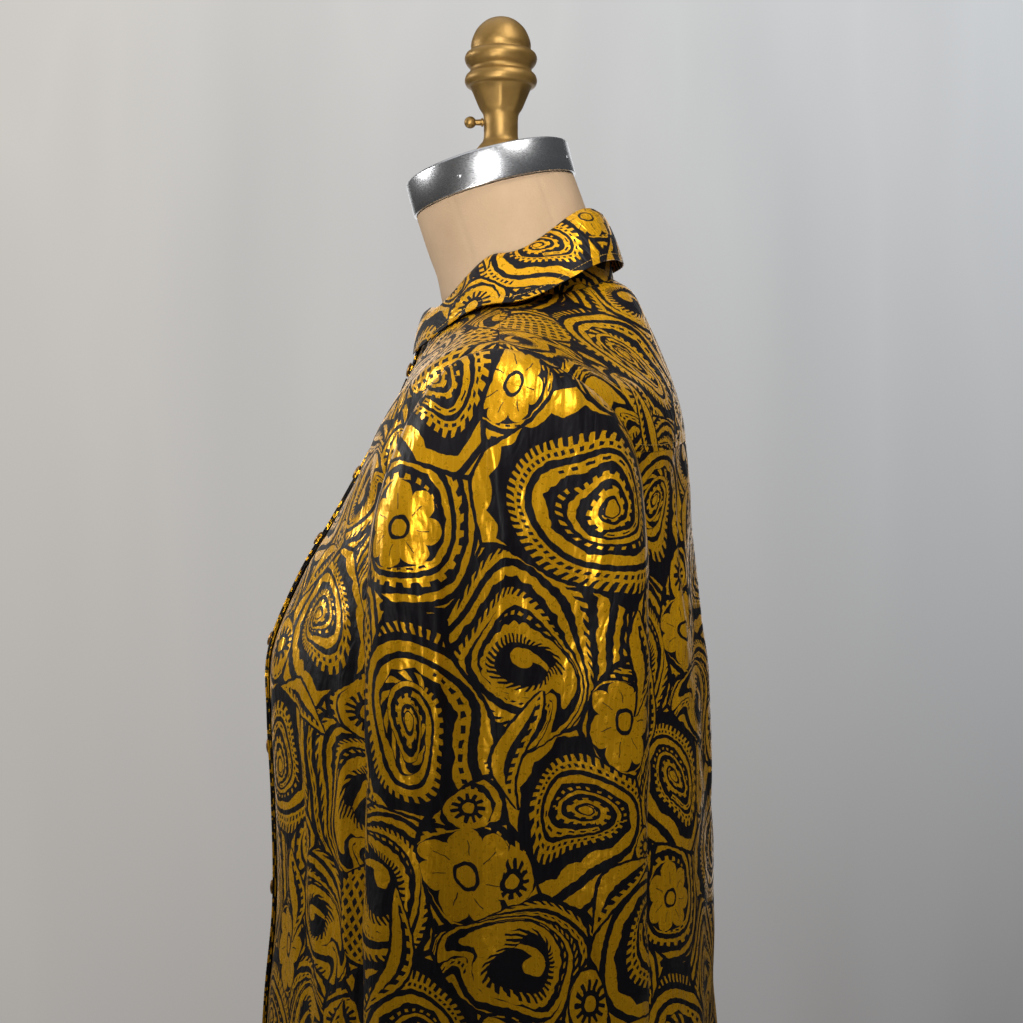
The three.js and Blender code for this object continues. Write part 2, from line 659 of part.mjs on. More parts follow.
function buildNeckBand() {
  const { radius, height, bevel, dome, centreY, lowZ, lean } = NECK_BAND;
  const band = turned(
    [
      { r: 0, z: 0 },
      { r: radius - bevel, z: 0 },
      { r: radius, z: bevel },
      { r: radius, z: height - bevel },
      { r: radius - bevel, z: height },
      { r: 0, z: height + dome },
    ],
    ROUND_SEGMENTS,
  );
  band.rotateX(radians(lean)).translate(0, centreY, lowZ);
  const bottom = NECK_BOSS.topZ - NECK_BOSS.sunk;
  const boss = turned(
    [
      { r: 0, z: bottom },
      { r: NECK_BOSS.radius, z: bottom },
      { r: NECK_BOSS.radius, z: NECK_BOSS.topZ },
      { r: 0, z: NECK_BOSS.topZ },
    ],
    POLE.segments,
  );
  add(dressForm, "neck_band", fromSolid(toSolid(band).add(toSolid(boss))), BRUSHED_METAL);
}

function buildFinial() {
  const bottom = FINIAL_PROFILE[0].z;
  const profile = [{ r: 0, z: bottom }, ...FINIAL_PROFILE, { r: 0, z: FINIAL_TOP }];
  const { hole: radius, innerY, height } = THUMB_SCREW;
  const depth = FINIAL_PROFILE[0].r * 2;
  const hole = new THREE.CylinderGeometry(radius, radius, depth, SCREW_SEGMENTS);
  hole.translate(0, innerY + SEAM - depth / 2, height);
  const solid = toSolid(turned(profile, FINIAL_SEGMENTS)).subtract(toSolid(hole));
  add(dressForm, "finial", fromSolid(solid), AGED_BRASS);
}

// The screw's shaft and ball, turned about the shaft's own axis and laid along -Y.
function buildThumbScrew() {
  const { shaft, innerY, ballY, ball, height } = THUMB_SCREW;
  const length = innerY - ballY;
  const ballStart = Math.asin(shaft / ball);
  const arc = spread(ballStart, Math.PI, 7).map((turn) => ({
    r: Math.max(ball * Math.sin(turn), 0),
    z: length - ball * Math.cos(turn),
  }));
  arc[arc.length - 1].r = 0;
  const screw = turned([{ r: 0, z: 0 }, { r: shaft, z: 0 }, ...arc], SCREW_SEGMENTS);
  const mesh = add(dressForm, "thumb_screw", screw, AGED_BRASS);
  mesh.rotation.x = Math.PI / 2;
  mesh.position.set(0, innerY, height);
}

function buildStand() {
  const flangeTop = TORSO_BOTTOM - SEAM;
  const flangeLow = flangeTop - POLE.flangeThickness;
  const pole = turned(
    [
      { r: 0, z: POLE.lowZ },
      { r: POLE.radius, z: POLE.lowZ },
      { r: POLE.radius, z: flangeLow },
      { r: POLE.flangeRadius, z: flangeLow },
      { r: POLE.flangeRadius, z: flangeTop },
      { r: 0, z: flangeTop },
    ],
    POLE.segments,
  );
  add(dressForm, "stand_pole", pole, BRUSHED_METAL);
  add(dressForm, "stand_base", turned(BASE_PROFILE, ROUND_SEGMENTS), PAINTED_STEEL);
}

buildFronts();
buildYokeAndBack();
buildSleeves();
buildCuffs();
buildCollar();
buildButtons();
buildFormBody();
buildNeckBand();
buildFinial();
buildThumbScrew();
buildStand();

const part = new THREE.Group();
part.add(blouse, dressForm);
export default part;
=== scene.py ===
# The looks of a long-sleeved paisley blouse on a limbless dress form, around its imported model.
# Lengths are millimetres in the model's own frame: +Z up, the wearer faces -Y, the wearer's left is +X.
# Meshes are made in metres.
import json
import math

import bpy
import numpy as np
from mathutils import Matrix, Vector

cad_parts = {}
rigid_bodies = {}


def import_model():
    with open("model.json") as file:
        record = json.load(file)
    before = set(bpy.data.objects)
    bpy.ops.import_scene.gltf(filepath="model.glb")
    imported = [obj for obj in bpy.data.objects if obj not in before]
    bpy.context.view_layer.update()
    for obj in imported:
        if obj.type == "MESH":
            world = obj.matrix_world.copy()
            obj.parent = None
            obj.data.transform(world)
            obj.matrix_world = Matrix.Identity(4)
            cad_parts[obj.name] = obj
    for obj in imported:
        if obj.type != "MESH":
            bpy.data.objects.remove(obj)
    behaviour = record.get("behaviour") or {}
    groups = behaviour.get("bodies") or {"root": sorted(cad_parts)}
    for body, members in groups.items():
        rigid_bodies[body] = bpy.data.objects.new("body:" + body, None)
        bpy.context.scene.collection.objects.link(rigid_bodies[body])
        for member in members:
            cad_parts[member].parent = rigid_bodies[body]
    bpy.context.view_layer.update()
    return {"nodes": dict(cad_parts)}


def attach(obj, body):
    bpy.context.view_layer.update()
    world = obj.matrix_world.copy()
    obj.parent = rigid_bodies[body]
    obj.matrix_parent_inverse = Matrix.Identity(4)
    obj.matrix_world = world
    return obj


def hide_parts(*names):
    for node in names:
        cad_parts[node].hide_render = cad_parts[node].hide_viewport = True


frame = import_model()

MM = 0.001
BLOUSE_BODY = "form_and_blouse"
CLOTH = 0.8
DOUBLED = 1.2


# ---------------------------------------------------------------- tables of the garment's rings


def table(columns, *rows):
    """A table as named columns, from rows of numbers."""
    return {name: np.array([row[i] for row in rows], float) for i, name in enumerate(columns.split())}


BODY_RINGS = table(
    "side front back sideZ frontZ backZ frontDip backDip fold",
    (66, 63, 79, 1342, 1290, 1362, 0, 2, 0),
    (98, 67.5, 92, 1329, 1279, 1353, -2, 10, 0),
    (135, 73.5, 102, 1316, 1267, 1333, -3, 17, 0),
    (172, 79, 111, 1303, 1256, 1312, -4, 20, 0),
    (200, 87, 119, 1294, 1243, 1290, -3, 18, 0),
    (203, 98, 127, 1262, 1223, 1260, 0, 8, 0.5),
    (188, 115, 132, 1213, 1193, 1218, 0, 0, 1.5),
    (177, 137.5, 136, 1160, 1155, 1165, 0, 0, 2.5),
    (172, 158, 143, 1105, 1105, 1105, 0, 0, 3),
    (173, 159, 146, 1060, 1060, 1060, 0, 0, 3.5),
    (176, 156, 148, 1000, 1000, 1000, 0, 0, 4),
    (182, 155, 149, 930, 930, 930, 0, 0, 5),
    (188, 161, 150, 860, 860, 860, 0, 0, 6),
    (194, 165, 155, 775, 775, 775, 0, 0, 7),
    (198, 167, 160, 680, 680, 680, 0, 0, 8),
)
HEM_LEVEL = 14
BODY_FOLDS = {"count": 11, "clear_from": 12, "clear_to": 40, "drift": 0.3, "shift": 15}
ARMHOLE = {"top": 4, "low": 8, "front": 39, "back": 41.5}
YOKE_SEAM_LEVEL = 6 - 2 * math.cos(math.radians(75))
YOKE_SEAM_RISE = 0.22
YOKE_SEAM_SPREAD = 1.5
SEAM = 0.35
FRONT_OVERLAP = {"under": 12, "over": 14, "lift": 2.2, "fade": 45}
PLACKET_HALF = 14
PLACKET_TOP = 0.12
CAD_CLOTH = 1.2
PLACKET_LIFT = FRONT_OVERLAP["lift"] + SEAM + CAD_CLOTH

SLEEVE_RINGS = table(
    "topX topZ underX underZ frontY backY ridge",
    (200.5, 1294, 172.5, 1105, -75, 88, 0),
    (213, 1291, 176, 1099, -77, 89, 0.5),
    (225, 1275, 178, 1088, -78, 89, 2),
    (233, 1244, 180, 1070, -78, 88, 4),
    (237, 1200, 181, 1046, -77, 88, 5),
    (239, 1145, 183, 1012, -77, 87, 5.5),
    (240, 1085, 185, 972, -77, 87, 4.5),
    (242, 1024, 188, 928, -77, 86, 5.5),
    (245, 966, 192, 886, -77, 86, 5),
    (249, 912, 197, 852, -75, 85, 5),
    (253, 868, 202, 832, -71, 82, 5),
    (256, 838, 206, 818, -66, 77, 5),
    (255, 816, 211, 806, -60, 69, 4),
    (250, 799, 217, 798, -53, 60, 2),
)
SLEEVE_LAST = 13
SLEEVE_SWELLS = table(
    "angle height width",
    (0, 1.3, 13),
    (30, -0.9, 13),
    (58, 0.7, 14),
    (-32, -1.0, 15),
    (-62, 0.6, 14),
    (125, 0.7, 15),
    (180, -0.9, 16),
    (-120, 0.7, 15),
)
CAP_REACH = 4.5
SLEEVE_SHIFT = 0.5
SWELL_LEAN = 0.35
CUFF = {"outX": 251, "inX": 217, "frontY": -53, "backY": 60, "topZ": 797.4, "lowZ": 741}

STAND_RINGS = table(
    "side front back sideZ frontZ backZ frontDip backDip",
    (66, 63, 79, 1342.5, 1292, 1362.5, 0, 2),
    (64, 56, 74.5, 1356, 1314.5, 1384, 7, -3),
    (61, 48, 67.5, 1369, 1339, 1406, 13, -10),
)
STAND_OVERLAP = {"under": 10, "over": 12, "lift": 2.2, "fade_from": 310, "fade_to": 350}
FALL_RINGS = table(
    "side front back sideZ frontZ backZ frontDip backDip",
    (61.5, 50, 67.5, 1371.5, 1342, 1408.5, 13, -10),
    (67, 55, 73.5, 1367, 1337, 1404, 12, -10),
    (80, 59.5, 81, 1350.5, 1323, 1388, 9, -10),
    (93, 61.5, 86, 1335, 1309, 1372, 5, -9),
)
FALL_OPEN_ANGLE = 7

FORM_RINGS = table(
    "side front back mid sideZ frontZ backZ backDip plane",
    (55, 59, 51, -4, 1420, 1405.3, 1434.7, 0, 1),
    (55.5, 51, 60, 4, 1396, 1381, 1410, 0, 1),
    (57, 44, 67, 9, 1374, 1361, 1388, 0, 0.7),
    (60, 42, 72, 9, 1353, 1341, 1366, 0, 0.3),
    (63.2, 49, 78.5, 7, 1341, 1318, 1356, 9, 0),
    (98, 55.5, 88, 4, 1327.2, 1300, 1348, 14, 0),
    (135, 61, 96, 1, 1313.8, 1284, 1332, 22, 0),
    (160, 66, 103, 0, 1304, 1271, 1316, 24, 0),
    (177, 73, 110, 0, 1292, 1260, 1301, 21, 0),
    (186, 79, 116, 0, 1273, 1248, 1282, 18, 0),
    (186, 87, 121, 0, 1248, 1233, 1257, 10, 0),
    (178, 102, 126, 0, 1210, 1205, 1213, 3, 0),
    (164, 127, 127, 0, 1160, 1160, 1160, 0, 0),
    (156, 149, 122, 0, 1112, 1112, 1112, 0, 0),
    (147, 140, 113, 0, 1060, 1060, 1060, 0, 0),
    (130, 113, 99, 0, 1000, 1000, 1000, 0, 0),
    (119, 99, 89, 0, 955, 955, 955, 0, 0),
    (138, 108, 107, 0, 895, 895, 895, 0, 0),
    (158, 117, 128, 0, 825, 825, 825, 0, 0),
    (168, 118, 136, 0, 765, 765, 765, 0, 0),
    (167, 115, 130, 0, 700, 700, 700, 0, 0),
    (160, 108, 120, 0, 640, 640, 640, 0, 0),
)
FORM_LAST = 21


# ---------------------------------------------------------------- surfaces


def smooth(value, low, high):
    t = np.clip((value - low) / (high - low), 0, 1)
    return t * t * (3 - 2 * t)


def sin(degrees):
    return np.sin(np.radians(degrees))


def cos(degrees):
    return np.cos(np.radians(degrees))


def along(rings, key, level):
    """One column of a table of rings at any level, on a smooth curve through its rows."""
    level = np.asarray(level, float)
    if key not in rings:
        return np.zeros_like(level)
    rows = rings[key]
    ends = np.concatenate([[2 * rows[0] - rows[1]], rows, [2 * rows[-1] - rows[-2]]])
    i = np.clip(np.floor(level).astype(int), 0, len(rows) - 2)
    t = level - i
    before, a, b, after = ends[i], ends[i + 1], ends[i + 2], ends[i + 3]
    t2, t3 = t * t, t * t * t
    return (
        a * (2 * t3 - 3 * t2 + 1)
        + (b - before) / 2 * (t3 - 2 * t2 + t)
        + b * (3 * t2 - 2 * t3)
        + (after - a) / 2 * (t3 - t2)
    )


def ring_point(rings, level, angle):
    """A point of a ringed surface: angle 0 is the centre front, 90 the wearer's left, 180 the back."""
    s, c = sin(angle), cos(angle)
    ahead = c >= 0
    front, back = along(rings, "front", level), along(rings, "back", level)
    front_z, back_z = along(rings, "frontZ", level), along(rings, "backZ", level)
    mid = along(rings, "mid", level)
    dip = np.where(ahead, along(rings, "frontDip", level), along(rings, "backDip", level))
    y = mid - np.where(ahead, front + mid, back - mid) * c
    end_z = np.where(ahead, front_z, back_z)
    draped = along(rings, "sideZ", level) * s * s + end_z * c * c - dip * (2 * s * c) ** 2
    tilted = front_z + (back_z - front_z) / (front + back) * (y + front)
    z = draped + (tilted - draped) * along(rings, "plane", level)
    return np.stack([along(rings, "side", level) * s, y, z], -1)


def normal_at(point, level, angle, side):
    """The outward normal of a surface given as point(level, angle)."""
    level_step, angle_step = 1e-3, 0.05
    down = point(level + level_step, angle) - point(level - level_step, angle)
    around = point(level, angle + angle_step) - point(level, angle - angle_step)
    normal = np.cross(down, around) * side
    return normal / np.linalg.norm(normal, axis=-1, keepdims=True)


def body_point(level, angle):
    point = ring_point(BODY_RINGS, level, angle)
    turn = np.abs((angle + 180) % 360 - 180)
    clear = smooth(turn, BODY_FOLDS["clear_from"], BODY_FOLDS["clear_to"])
    uneven = 1 - BODY_FOLDS["drift"] * (1 - sin(2.3 * turn + 40))
    ripple = 0.5 * (1 + cos(BODY_FOLDS["count"] * turn + BODY_FOLDS["shift"] * sin(3 * turn)))
    depth = along(BODY_RINGS, "fold", level) * clear * uneven * ripple
    inward = point * (1, 1, 0)
    inward /= np.linalg.norm(inward, axis=-1, keepdims=True)
    return point - inward * depth[..., None]


def armhole_cut(level, reach):
    """How far the armhole cuts in from the side at a level, in degrees."""
    middle, half = (ARMHOLE["top"] + ARMHOLE["low"]) / 2, (ARMHOLE["low"] - ARMHOLE["top"]) / 2
    return reach * np.sqrt(np.clip(1 - ((level - middle) / half) ** 2, 0, 1))


def back_point(level, angle):
    from_centre = np.clip(np.abs(angle - 180) / (90 - ARMHOLE["back"]), 0, 1)
    rise = YOKE_SEAM_RISE * cos(from_centre * 90) ** 2
    hold = 1 - smooth(np.abs(level - YOKE_SEAM_LEVEL), 0, YOKE_SEAM_SPREAD)
    return body_point(level - rise * hold, angle)


def sleeve_section(ring, angle):
    top_x, under_x = along(SLEEVE_RINGS, "topX", ring), along(SLEEVE_RINGS, "underX", ring)
    top_z, under_z = along(SLEEVE_RINGS, "topZ", ring), along(SLEEVE_RINGS, "underZ", ring)
    front_y, back_y = along(SLEEVE_RINGS, "frontY", ring), along(SLEEVE_RINGS, "backY", ring)
    s, c = sin(angle), cos(angle)
    x = (top_x + under_x) / 2 + (top_x - under_x) / 2 * c
    y = (front_y + back_y) / 2 * s * s + (front_y - back_y) / 2 * s
    z = (top_z + under_z) / 2 + (top_z - under_z) / 2 * c
    return np.stack([x, y, z], -1)


def sleeve_point(ring, angle):
    """A point of the left sleeve: angle 0 is its outermost line, 90 its front, 180 its underarm line."""
    point = sleeve_section(ring, angle)
    reach = np.where(sin(angle) >= 0, ARMHOLE["front"], ARMHOLE["back"])
    armhole = body_point(6 - 2 * cos(angle), 90 - reach * sin(angle)) + (SLEEVE_SHIFT, 0, 0)
    hold = 1 - smooth(ring, 0, CAP_REACH)
    point = point + (armhole - sleeve_section(np.zeros_like(ring), angle)) * hold[..., None]
    swell = np.zeros_like(point[..., 0])
    for middle, height, width in zip(*SLEEVE_SWELLS.values()):
        turn = (angle - middle + 180) % 360 - 180
        swell = swell + height * np.exp(-((turn / width) ** 2))
    outward = np.stack([cos(angle), -SWELL_LEAN * sin(angle), 0 * angle], -1)
    return point + outward * (along(SLEEVE_RINGS, "ridge", ring) * swell)[..., None]


def cuff_point(share, angle):
    """A point of the left cuff: share runs from 0 at its seam to 1 at its edge."""
    x = (CUFF["outX"] + CUFF["inX"]) / 2 + (CUFF["outX"] - CUFF["inX"]) / 2 * cos(angle)
    y = (CUFF["frontY"] + CUFF["backY"]) / 2 + (CUFF["frontY"] - CUFF["backY"]) / 2 * sin(angle)
    z = CUFF["topZ"] + (CUFF["lowZ"] - CUFF["topZ"]) * share
    return np.stack([x, y, z], -1)


def stand_point(ring, angle):
    return ring_point(STAND_RINGS, ring, angle)


def fall_point(ring, angle):
    return ring_point(FALL_RINGS, ring, angle)


def form_point(ring, angle):
    return ring_point(FORM_RINGS, ring, angle)


# ---------------------------------------------------------------- creases


def crease_heights(flat, creases):
    """The height of soft ridges and troughs at points of a plane. Each crease is a height, a width
    and the points it runs through, and dies away at both its ends."""
    total = np.zeros(flat.shape[:-1])
    for height, width, *stops in creases:
        stops = np.array(stops, float)
        lengths = np.linalg.norm(np.diff(stops, axis=0), axis=1)
        nearest = np.full(total.shape, 1e9)
        share = np.zeros(total.shape)
        start = 0.0
        for a, b, length in zip(stops[:-1], stops[1:], lengths):
            t = np.clip(((flat - a) @ (b - a)) / length**2, 0, 1)
            gap = np.linalg.norm(flat - (a + t[..., None] * (b - a)), axis=-1)
            closer = gap < nearest
            share = np.where(closer, (start + t * length) / lengths.sum(), share)
            nearest = np.minimum(gap, nearest)
            start += length
        fade = smooth(share, 0, 0.3) * smooth(1 - share, 0, 0.3)
        total += height * fade * np.exp(-((nearest / width) ** 2))
    return total


def undulation(points, seed, height, wave):
    """Slow uneven swelling and sinking of the cloth: a few long waves in seeded directions."""
    rng = np.random.default_rng(seed)
    total = np.zeros(points.shape[:-1])
    count = 6
    for _ in range(count):
        direction = rng.normal(size=3) * (1, 1, 0.6)
        direction /= np.linalg.norm(direction)
        length = wave * rng.uniform(0.7, 1.5)
        total += np.sin(points @ direction * 2 * math.pi / length + rng.uniform(0, 2 * math.pi))
    return total * height / count**0.5


def creased(points, normals, side_creases=(), front_creases=(), seed=1, height=0.9, wave=60, hold=None):
    """Cloth moved along its normals by creases seen from the side, in y and z, by creases seen from
    the front or back, in x and z, and by undulation. hold is 0 where the cloth is held at a seam."""
    moved = undulation(points, seed, height, wave)
    if len(side_creases):
        facing = smooth(np.abs(normals[..., 0]), 0.15, 0.6)
        moved = moved + crease_heights(points[..., 1:], side_creases) * facing
    if len(front_creases):
        facing = smooth(np.abs(normals[..., 1]), 0.15, 0.6)
        moved = moved + crease_heights(points[..., ::2], front_creases) * facing
    if hold is not None:
        moved = moved * hold
    return points + normals * moved[..., None]


# ---------------------------------------------------------------- meshes


def link(name, points, faces, uvs=None):
    """A mesh object from points in millimetres, with the uv of each corner of each face in metres."""
    mesh = bpy.data.meshes.new(name)
    mesh.from_pydata((np.asarray(points) * MM).tolist(), [], faces)
    if uvs is not None:
        layer = mesh.uv_layers.new(name="cut")
        layer.data.foreach_set("uv", np.asarray(uvs, np.float32).ravel())
    mesh.polygons.foreach_set("use_smooth", np.ones(len(faces), bool))
    mesh.update()
    mesh.set_sharp_from_angle(angle=math.radians(50))
    piece = bpy.data.objects.new(name, mesh)
    bpy.context.scene.collection.objects.link(piece)
    return piece


def grid_quads(rows, columns):
    """The corners of every quad of a grid, each as (row, column), running round it."""
    r, c = np.meshgrid(np.arange(rows - 1), np.arange(columns - 1), indexing="ij")
    corners = [(r, c), (r + 1, c), (r + 1, c + 1), (r, c + 1)]
    return np.stack([np.stack(corner, -1).reshape(-1, 2) for corner in corners], 1)


def grid_normals(grid, like):
    """Unit normals of a grid of points, facing the way like does."""
    down = np.gradient(grid, axis=0)
    around = np.gradient(grid, axis=1)
    ends_meet = np.allclose(grid[:, 0], grid[:, -1], atol=1e-3)
    if ends_meet:
        seam = (grid[:, 1] - grid[:, -2]) / 2
        around[:, 0] = seam
        around[:, -1] = seam
    normal = np.cross(down, around)
    normal /= np.maximum(np.linalg.norm(normal, axis=-1, keepdims=True), 1e-9)
    facing = np.sign((normal * like).sum(-1, keepdims=True).mean())
    return normal * facing


def facing_out(grid, normals):
    """Whether the grid's quads, as grid_quads lists them, face along the normals."""
    cross = np.cross(grid[1:, :-1] - grid[:-1, :-1], grid[:-1, 1:] - grid[:-1, :-1])
    return (cross * normals[:-1, :-1]).sum() > 0


def flat_pattern(grid, normals, grain):
    """The cloth laid flat as it was cut: the uv of every point of a grid, in millimetres, true to
    size, with the grain column upright and its last point at the origin."""
    rows, columns = grid.shape[:2]
    quads = grid_quads(rows, columns)
    index = quads[..., 0] * columns + quads[..., 1]
    mesh = bpy.data.meshes.new("pattern")
    mesh.from_pydata(grid.reshape(-1, 3).tolist(), [], index.tolist())
    mesh.uv_layers.new(name="cut")
    piece = bpy.data.objects.new("pattern", mesh)
    bpy.context.scene.collection.objects.link(piece)
    bpy.ops.object.select_all(action="DESELECT")
    piece.select_set(True)
    bpy.context.view_layer.objects.active = piece
    bpy.ops.object.mode_set(mode="EDIT")
    bpy.ops.mesh.select_all(action="SELECT")
    bpy.ops.uv.unwrap(method="CONFORMAL", margin=0)
    bpy.ops.object.mode_set(mode="OBJECT")
    found = np.zeros(len(index) * 8, np.float32)
    piece.data.uv_layers[0].data.foreach_get("uv", found)
    uv = np.zeros((rows * columns, 2))
    uv[index.ravel()] = found.reshape(-1, 2)
    bpy.data.objects.remove(piece)
    bpy.data.meshes.remove(mesh)
    uv = uv.reshape(rows, columns, 2)

    def area(points):
        a = points[1:, 1:] - points[:-1, :-1]
        b = points[1:, :-1] - points[:-1, 1:]
        if points.shape[-1] == 2:
            return (a[..., 0] * b[..., 1] - a[..., 1] * b[..., 0]) / 2
        return np.linalg.norm(np.cross(a, b), axis=-1) / 2

    if (area(uv).sum() > 0) == facing_out(grid, normals):
        uv[..., 0] *= -1
    uv *= math.sqrt(area(grid).sum() / abs(area(uv).sum()))
    uv -= uv[-1, grain]
    upright = uv[0, grain] / np.linalg.norm(uv[0, grain])
    return np.stack([uv @ (upright[1], -upright[0]), uv @ upright], -1)


def shell(name, grid, like, thickness, print_at, grain):
    """A thin closed cloth shell whose outer face is the grid. A tube's last column repeats its first.
    print_at is where on the printed cloth the grain column's last point was cut, in millimetres."""
    normals = grid_normals(grid, like)
    uv = flat_pattern(grid, normals, grain) + print_at
    rows, columns = grid.shape[:2]
    tube = np.allclose(grid[:, 0], grid[:, -1], atol=1e-3)
    spans = columns - 1 if tube else columns
    outer = grid[:, :spans]
    inner = outer - normals[:, :spans] * thickness
    points = np.concatenate([outer.reshape(-1, 3), inner.reshape(-1, 3)])
    layer = rows * spans

    def ids(corners, level):
        return level * layer + corners[..., 0] * spans + corners[..., 1] % spans

    quads = grid_quads(rows, columns)
    faces = [ids(quads, 0), ids(quads[:, ::-1], 1)]
    places = [quads, quads[:, ::-1]]

    def rim(start, end):
        """The strip of faces that closes the two layers between two runs of grid corners."""
        corners = np.stack([start, start, end, end], 1)
        faces.append(np.stack([ids(start, 0), ids(start, 1), ids(end, 1), ids(end, 0)], 1))
        places.append(corners)

    across = np.arange(columns - 1)
    top = np.stack([0 * across, across], -1)
    low = np.stack([0 * across + rows - 1, across], -1)
    rim(top + (0, 1), top)
    rim(low, low + (0, 1))
    if not tube:
        downward = np.arange(rows - 1)
        first = np.stack([downward, 0 * downward], -1)
        last = np.stack([downward, 0 * downward + columns - 1], -1)
        rim(first, first + (1, 0))
        rim(last + (1, 0), last)
    faces = np.concatenate(faces)
    places = np.concatenate(places)
    if not facing_out(grid, normals):
        faces = faces[:, ::-1]
        places = places[:, ::-1]
    uvs = uv[places[..., 0], places[..., 1]] * MM
    return link(name, points, faces.tolist(), uvs)


def stitches(name, *runs):
    """Rows of small stitches lying on the cloth, each row along a run of points with its normals."""
    length, pitch, radius = STITCH["length"], STITCH["pitch"], STITCH["radius"]
    places = []
    for run, normals in runs:
        steps = np.linalg.norm(np.diff(run, axis=0), axis=1)
        lengths = np.concatenate([[0], np.cumsum(steps)])
        middles = np.arange(pitch, lengths[-1] - pitch / 2, pitch)

        def at(distance, values):
            return np.stack([np.interp(distance, lengths, values[:, i]) for i in range(3)], -1)

        ahead = at(middles + 0.5, run) - at(middles - 0.5, run)
        ahead /= np.linalg.norm(ahead, axis=-1, keepdims=True)
        up = at(middles, normals)
        aside = np.cross(ahead, up)
        corners = [
            at(middles, run) + ahead * share * length + corner * thick * radius
            for share, thick in STITCH_SECTIONS
            for corner in (aside, up, -aside, -up)
        ]
        places.append(np.stack(corners, 1).reshape(-1, 3))
    places = np.concatenate(places)
    sides, count = 4, 4 * len(STITCH_SECTIONS)
    one = [(0, 1, 2, 3), (count - 1, count - 2, count - 3, count - 4)]
    for ring in range(0, count - sides, sides):
        for i in range(sides):
            j = (i + 1) % sides
            one.append((ring + i, ring + sides + i, ring + sides + j, ring + j))
    faces = np.array(one)[None] + np.arange(0, len(places), count)[:, None, None]
    row = link(name, places, faces.reshape(-1, 4).tolist())
    return finish(row, THREAD, "printed_satin")


def turned(name, profile, segments, ring=None):
    """A closed lathe about +Z through (radius, height) points that start and end on the axis. ring
    scales the radius at each height and angle."""
    angles = np.arange(segments) * 360 / segments
    points = [(0, 0, profile[0][1])]
    for radius, height in profile[1:-1]:
        reach = radius * (1 if ring is None else ring(height, angles))
        circle = np.stack([reach * cos(angles), reach * sin(angles), 0 * angles + height], -1)
        points.extend(circle.tolist())
    points.append((0, 0, profile[-1][1]))
    rows = len(profile) - 2
    faces = []
    for i in range(segments):
        j = (i + 1) % segments
        faces.append((0, 1 + j, 1 + i))
        for row in range(rows - 1):
            low, high = 1 + row * segments, 1 + (row + 1) * segments
            faces.append((low + i, low + j, high + j, high + i))
        top = 1 + (rows - 1) * segments
        faces.append((top + i, top + j, len(points) - 1))
    return link(name, points, faces)


def smooth_profile(stops, count):
    """A denser profile on a smooth curve through (radius, height) stops."""
    rows = {"r": np.array([s[0] for s in stops], float), "z": np.array([s[1] for s in stops], float)}
    level = np.linspace(0, len(stops) - 1, count)
    return list(zip(np.maximum(along(rows, "r", level), 0), along(rows, "z", level)))


def finish(piece, material, slot, *nodes, body=BLOUSE_BODY):
    """Gives a piece its material, lets it ride on its body and stand for its nodes. Its slot is not used.
    """
    piece.data.materials.append(material)
    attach(piece, body)
    if nodes:
        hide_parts(*nodes)
    return piece


def cloth(node, points, normals, print_at, grain, thickness=CLOTH, stitched=()):
    """The printed cloth that stands for a node, stitched along some rows of its grid."""
    piece = shell(f"{node}_cloth", points, normals, thickness, print_at, grain)
    finish(piece, SATIN, "printed_satin", node)
    if stitched:
        stitches(f"{node}_stitches", *((points[row], normals[row]) for row in stitched))


# ---------------------------------------------------------------- node formulas


class Field:
    """A number or vector that varies over a surface: an output socket that formulas can be made of."""

    tree = None

    def __init__(self, socket):
        self.socket = socket

    def __add__(self, other):
        return math_node("ADD", self, other)

    def __sub__(self, other):
        return math_node("SUBTRACT", self, other)

    def __rsub__(self, other):
        return math_node("SUBTRACT", other, self)

    def __mul__(self, other):
        return math_node("MULTIPLY", self, other)

    def __truediv__(self, other):
        return math_node("DIVIDE", self, other)

    def __lt__(self, other):
        return math_node("LESS_THAN", self, other)

    def __gt__(self, other):
        return math_node("GREATER_THAN", self, other)

    __radd__ = __add__
    __rmul__ = __mul__


def add_node(kind, inputs=(), **settings):
    """A node with its settings, and its inputs set or linked by index or name."""
    node = Field.tree.nodes.new(kind)
    for key, value in settings.items():
        setattr(node, key, value)
    for key, value in dict(inputs).items():
        if isinstance(value, Field):
            Field.tree.links.new(value.socket, node.inputs[key])
        else:
            node.inputs[key].default_value = value
    return node


def math_node(operation, *values):
    return Field(add_node("ShaderNodeMath", enumerate(values), operation=operation).outputs[0])


def vector_node(operation, *values, output=0):
    node = add_node("ShaderNodeVectorMath", enumerate(values), operation=operation)
    return Field(node.outputs[output])


def formula(operation):
    """A function that adds one math node."""
    return lambda *values: math_node(operation, *values)


fsin = formula("SINE")
fcos = formula("COSINE")
frac = formula("FRACT")
floor = formula("FLOOR")
size = formula("ABSOLUTE")
least = formula("MINIMUM")


def most(a, *others):
    for other in others:
        a = math_node("MAXIMUM", a, other)
    return a


def between(x, low, high):
    return (x > low) * (x < high)


def zigzag(x):
    """A wave that is 0 half way between whole numbers and 1 at them."""
    return size(frac(x) - 0.5) * 2


def blend(a, b, share, kind="FLOAT"):
    """a where share is 0 and b where it is 1. Each kind of value has its own pair of inputs."""
    output = ("FLOAT", "VECTOR", "RGBA").index(kind)
    inputs = {0: share, 2 + 2 * output: a, 3 + 2 * output: b}
    return Field(add_node("ShaderNodeMix", inputs, data_type=kind).outputs[output])


def blend_vector(a, b, share):
    return blend(a, b, share, "VECTOR")


def blend_colour(a, b, share):
    return blend(a, b, share, "RGBA")


def parts(vector):
    outputs = add_node("ShaderNodeSeparateXYZ", {0: vector}).outputs
    return [Field(output) for output in outputs]


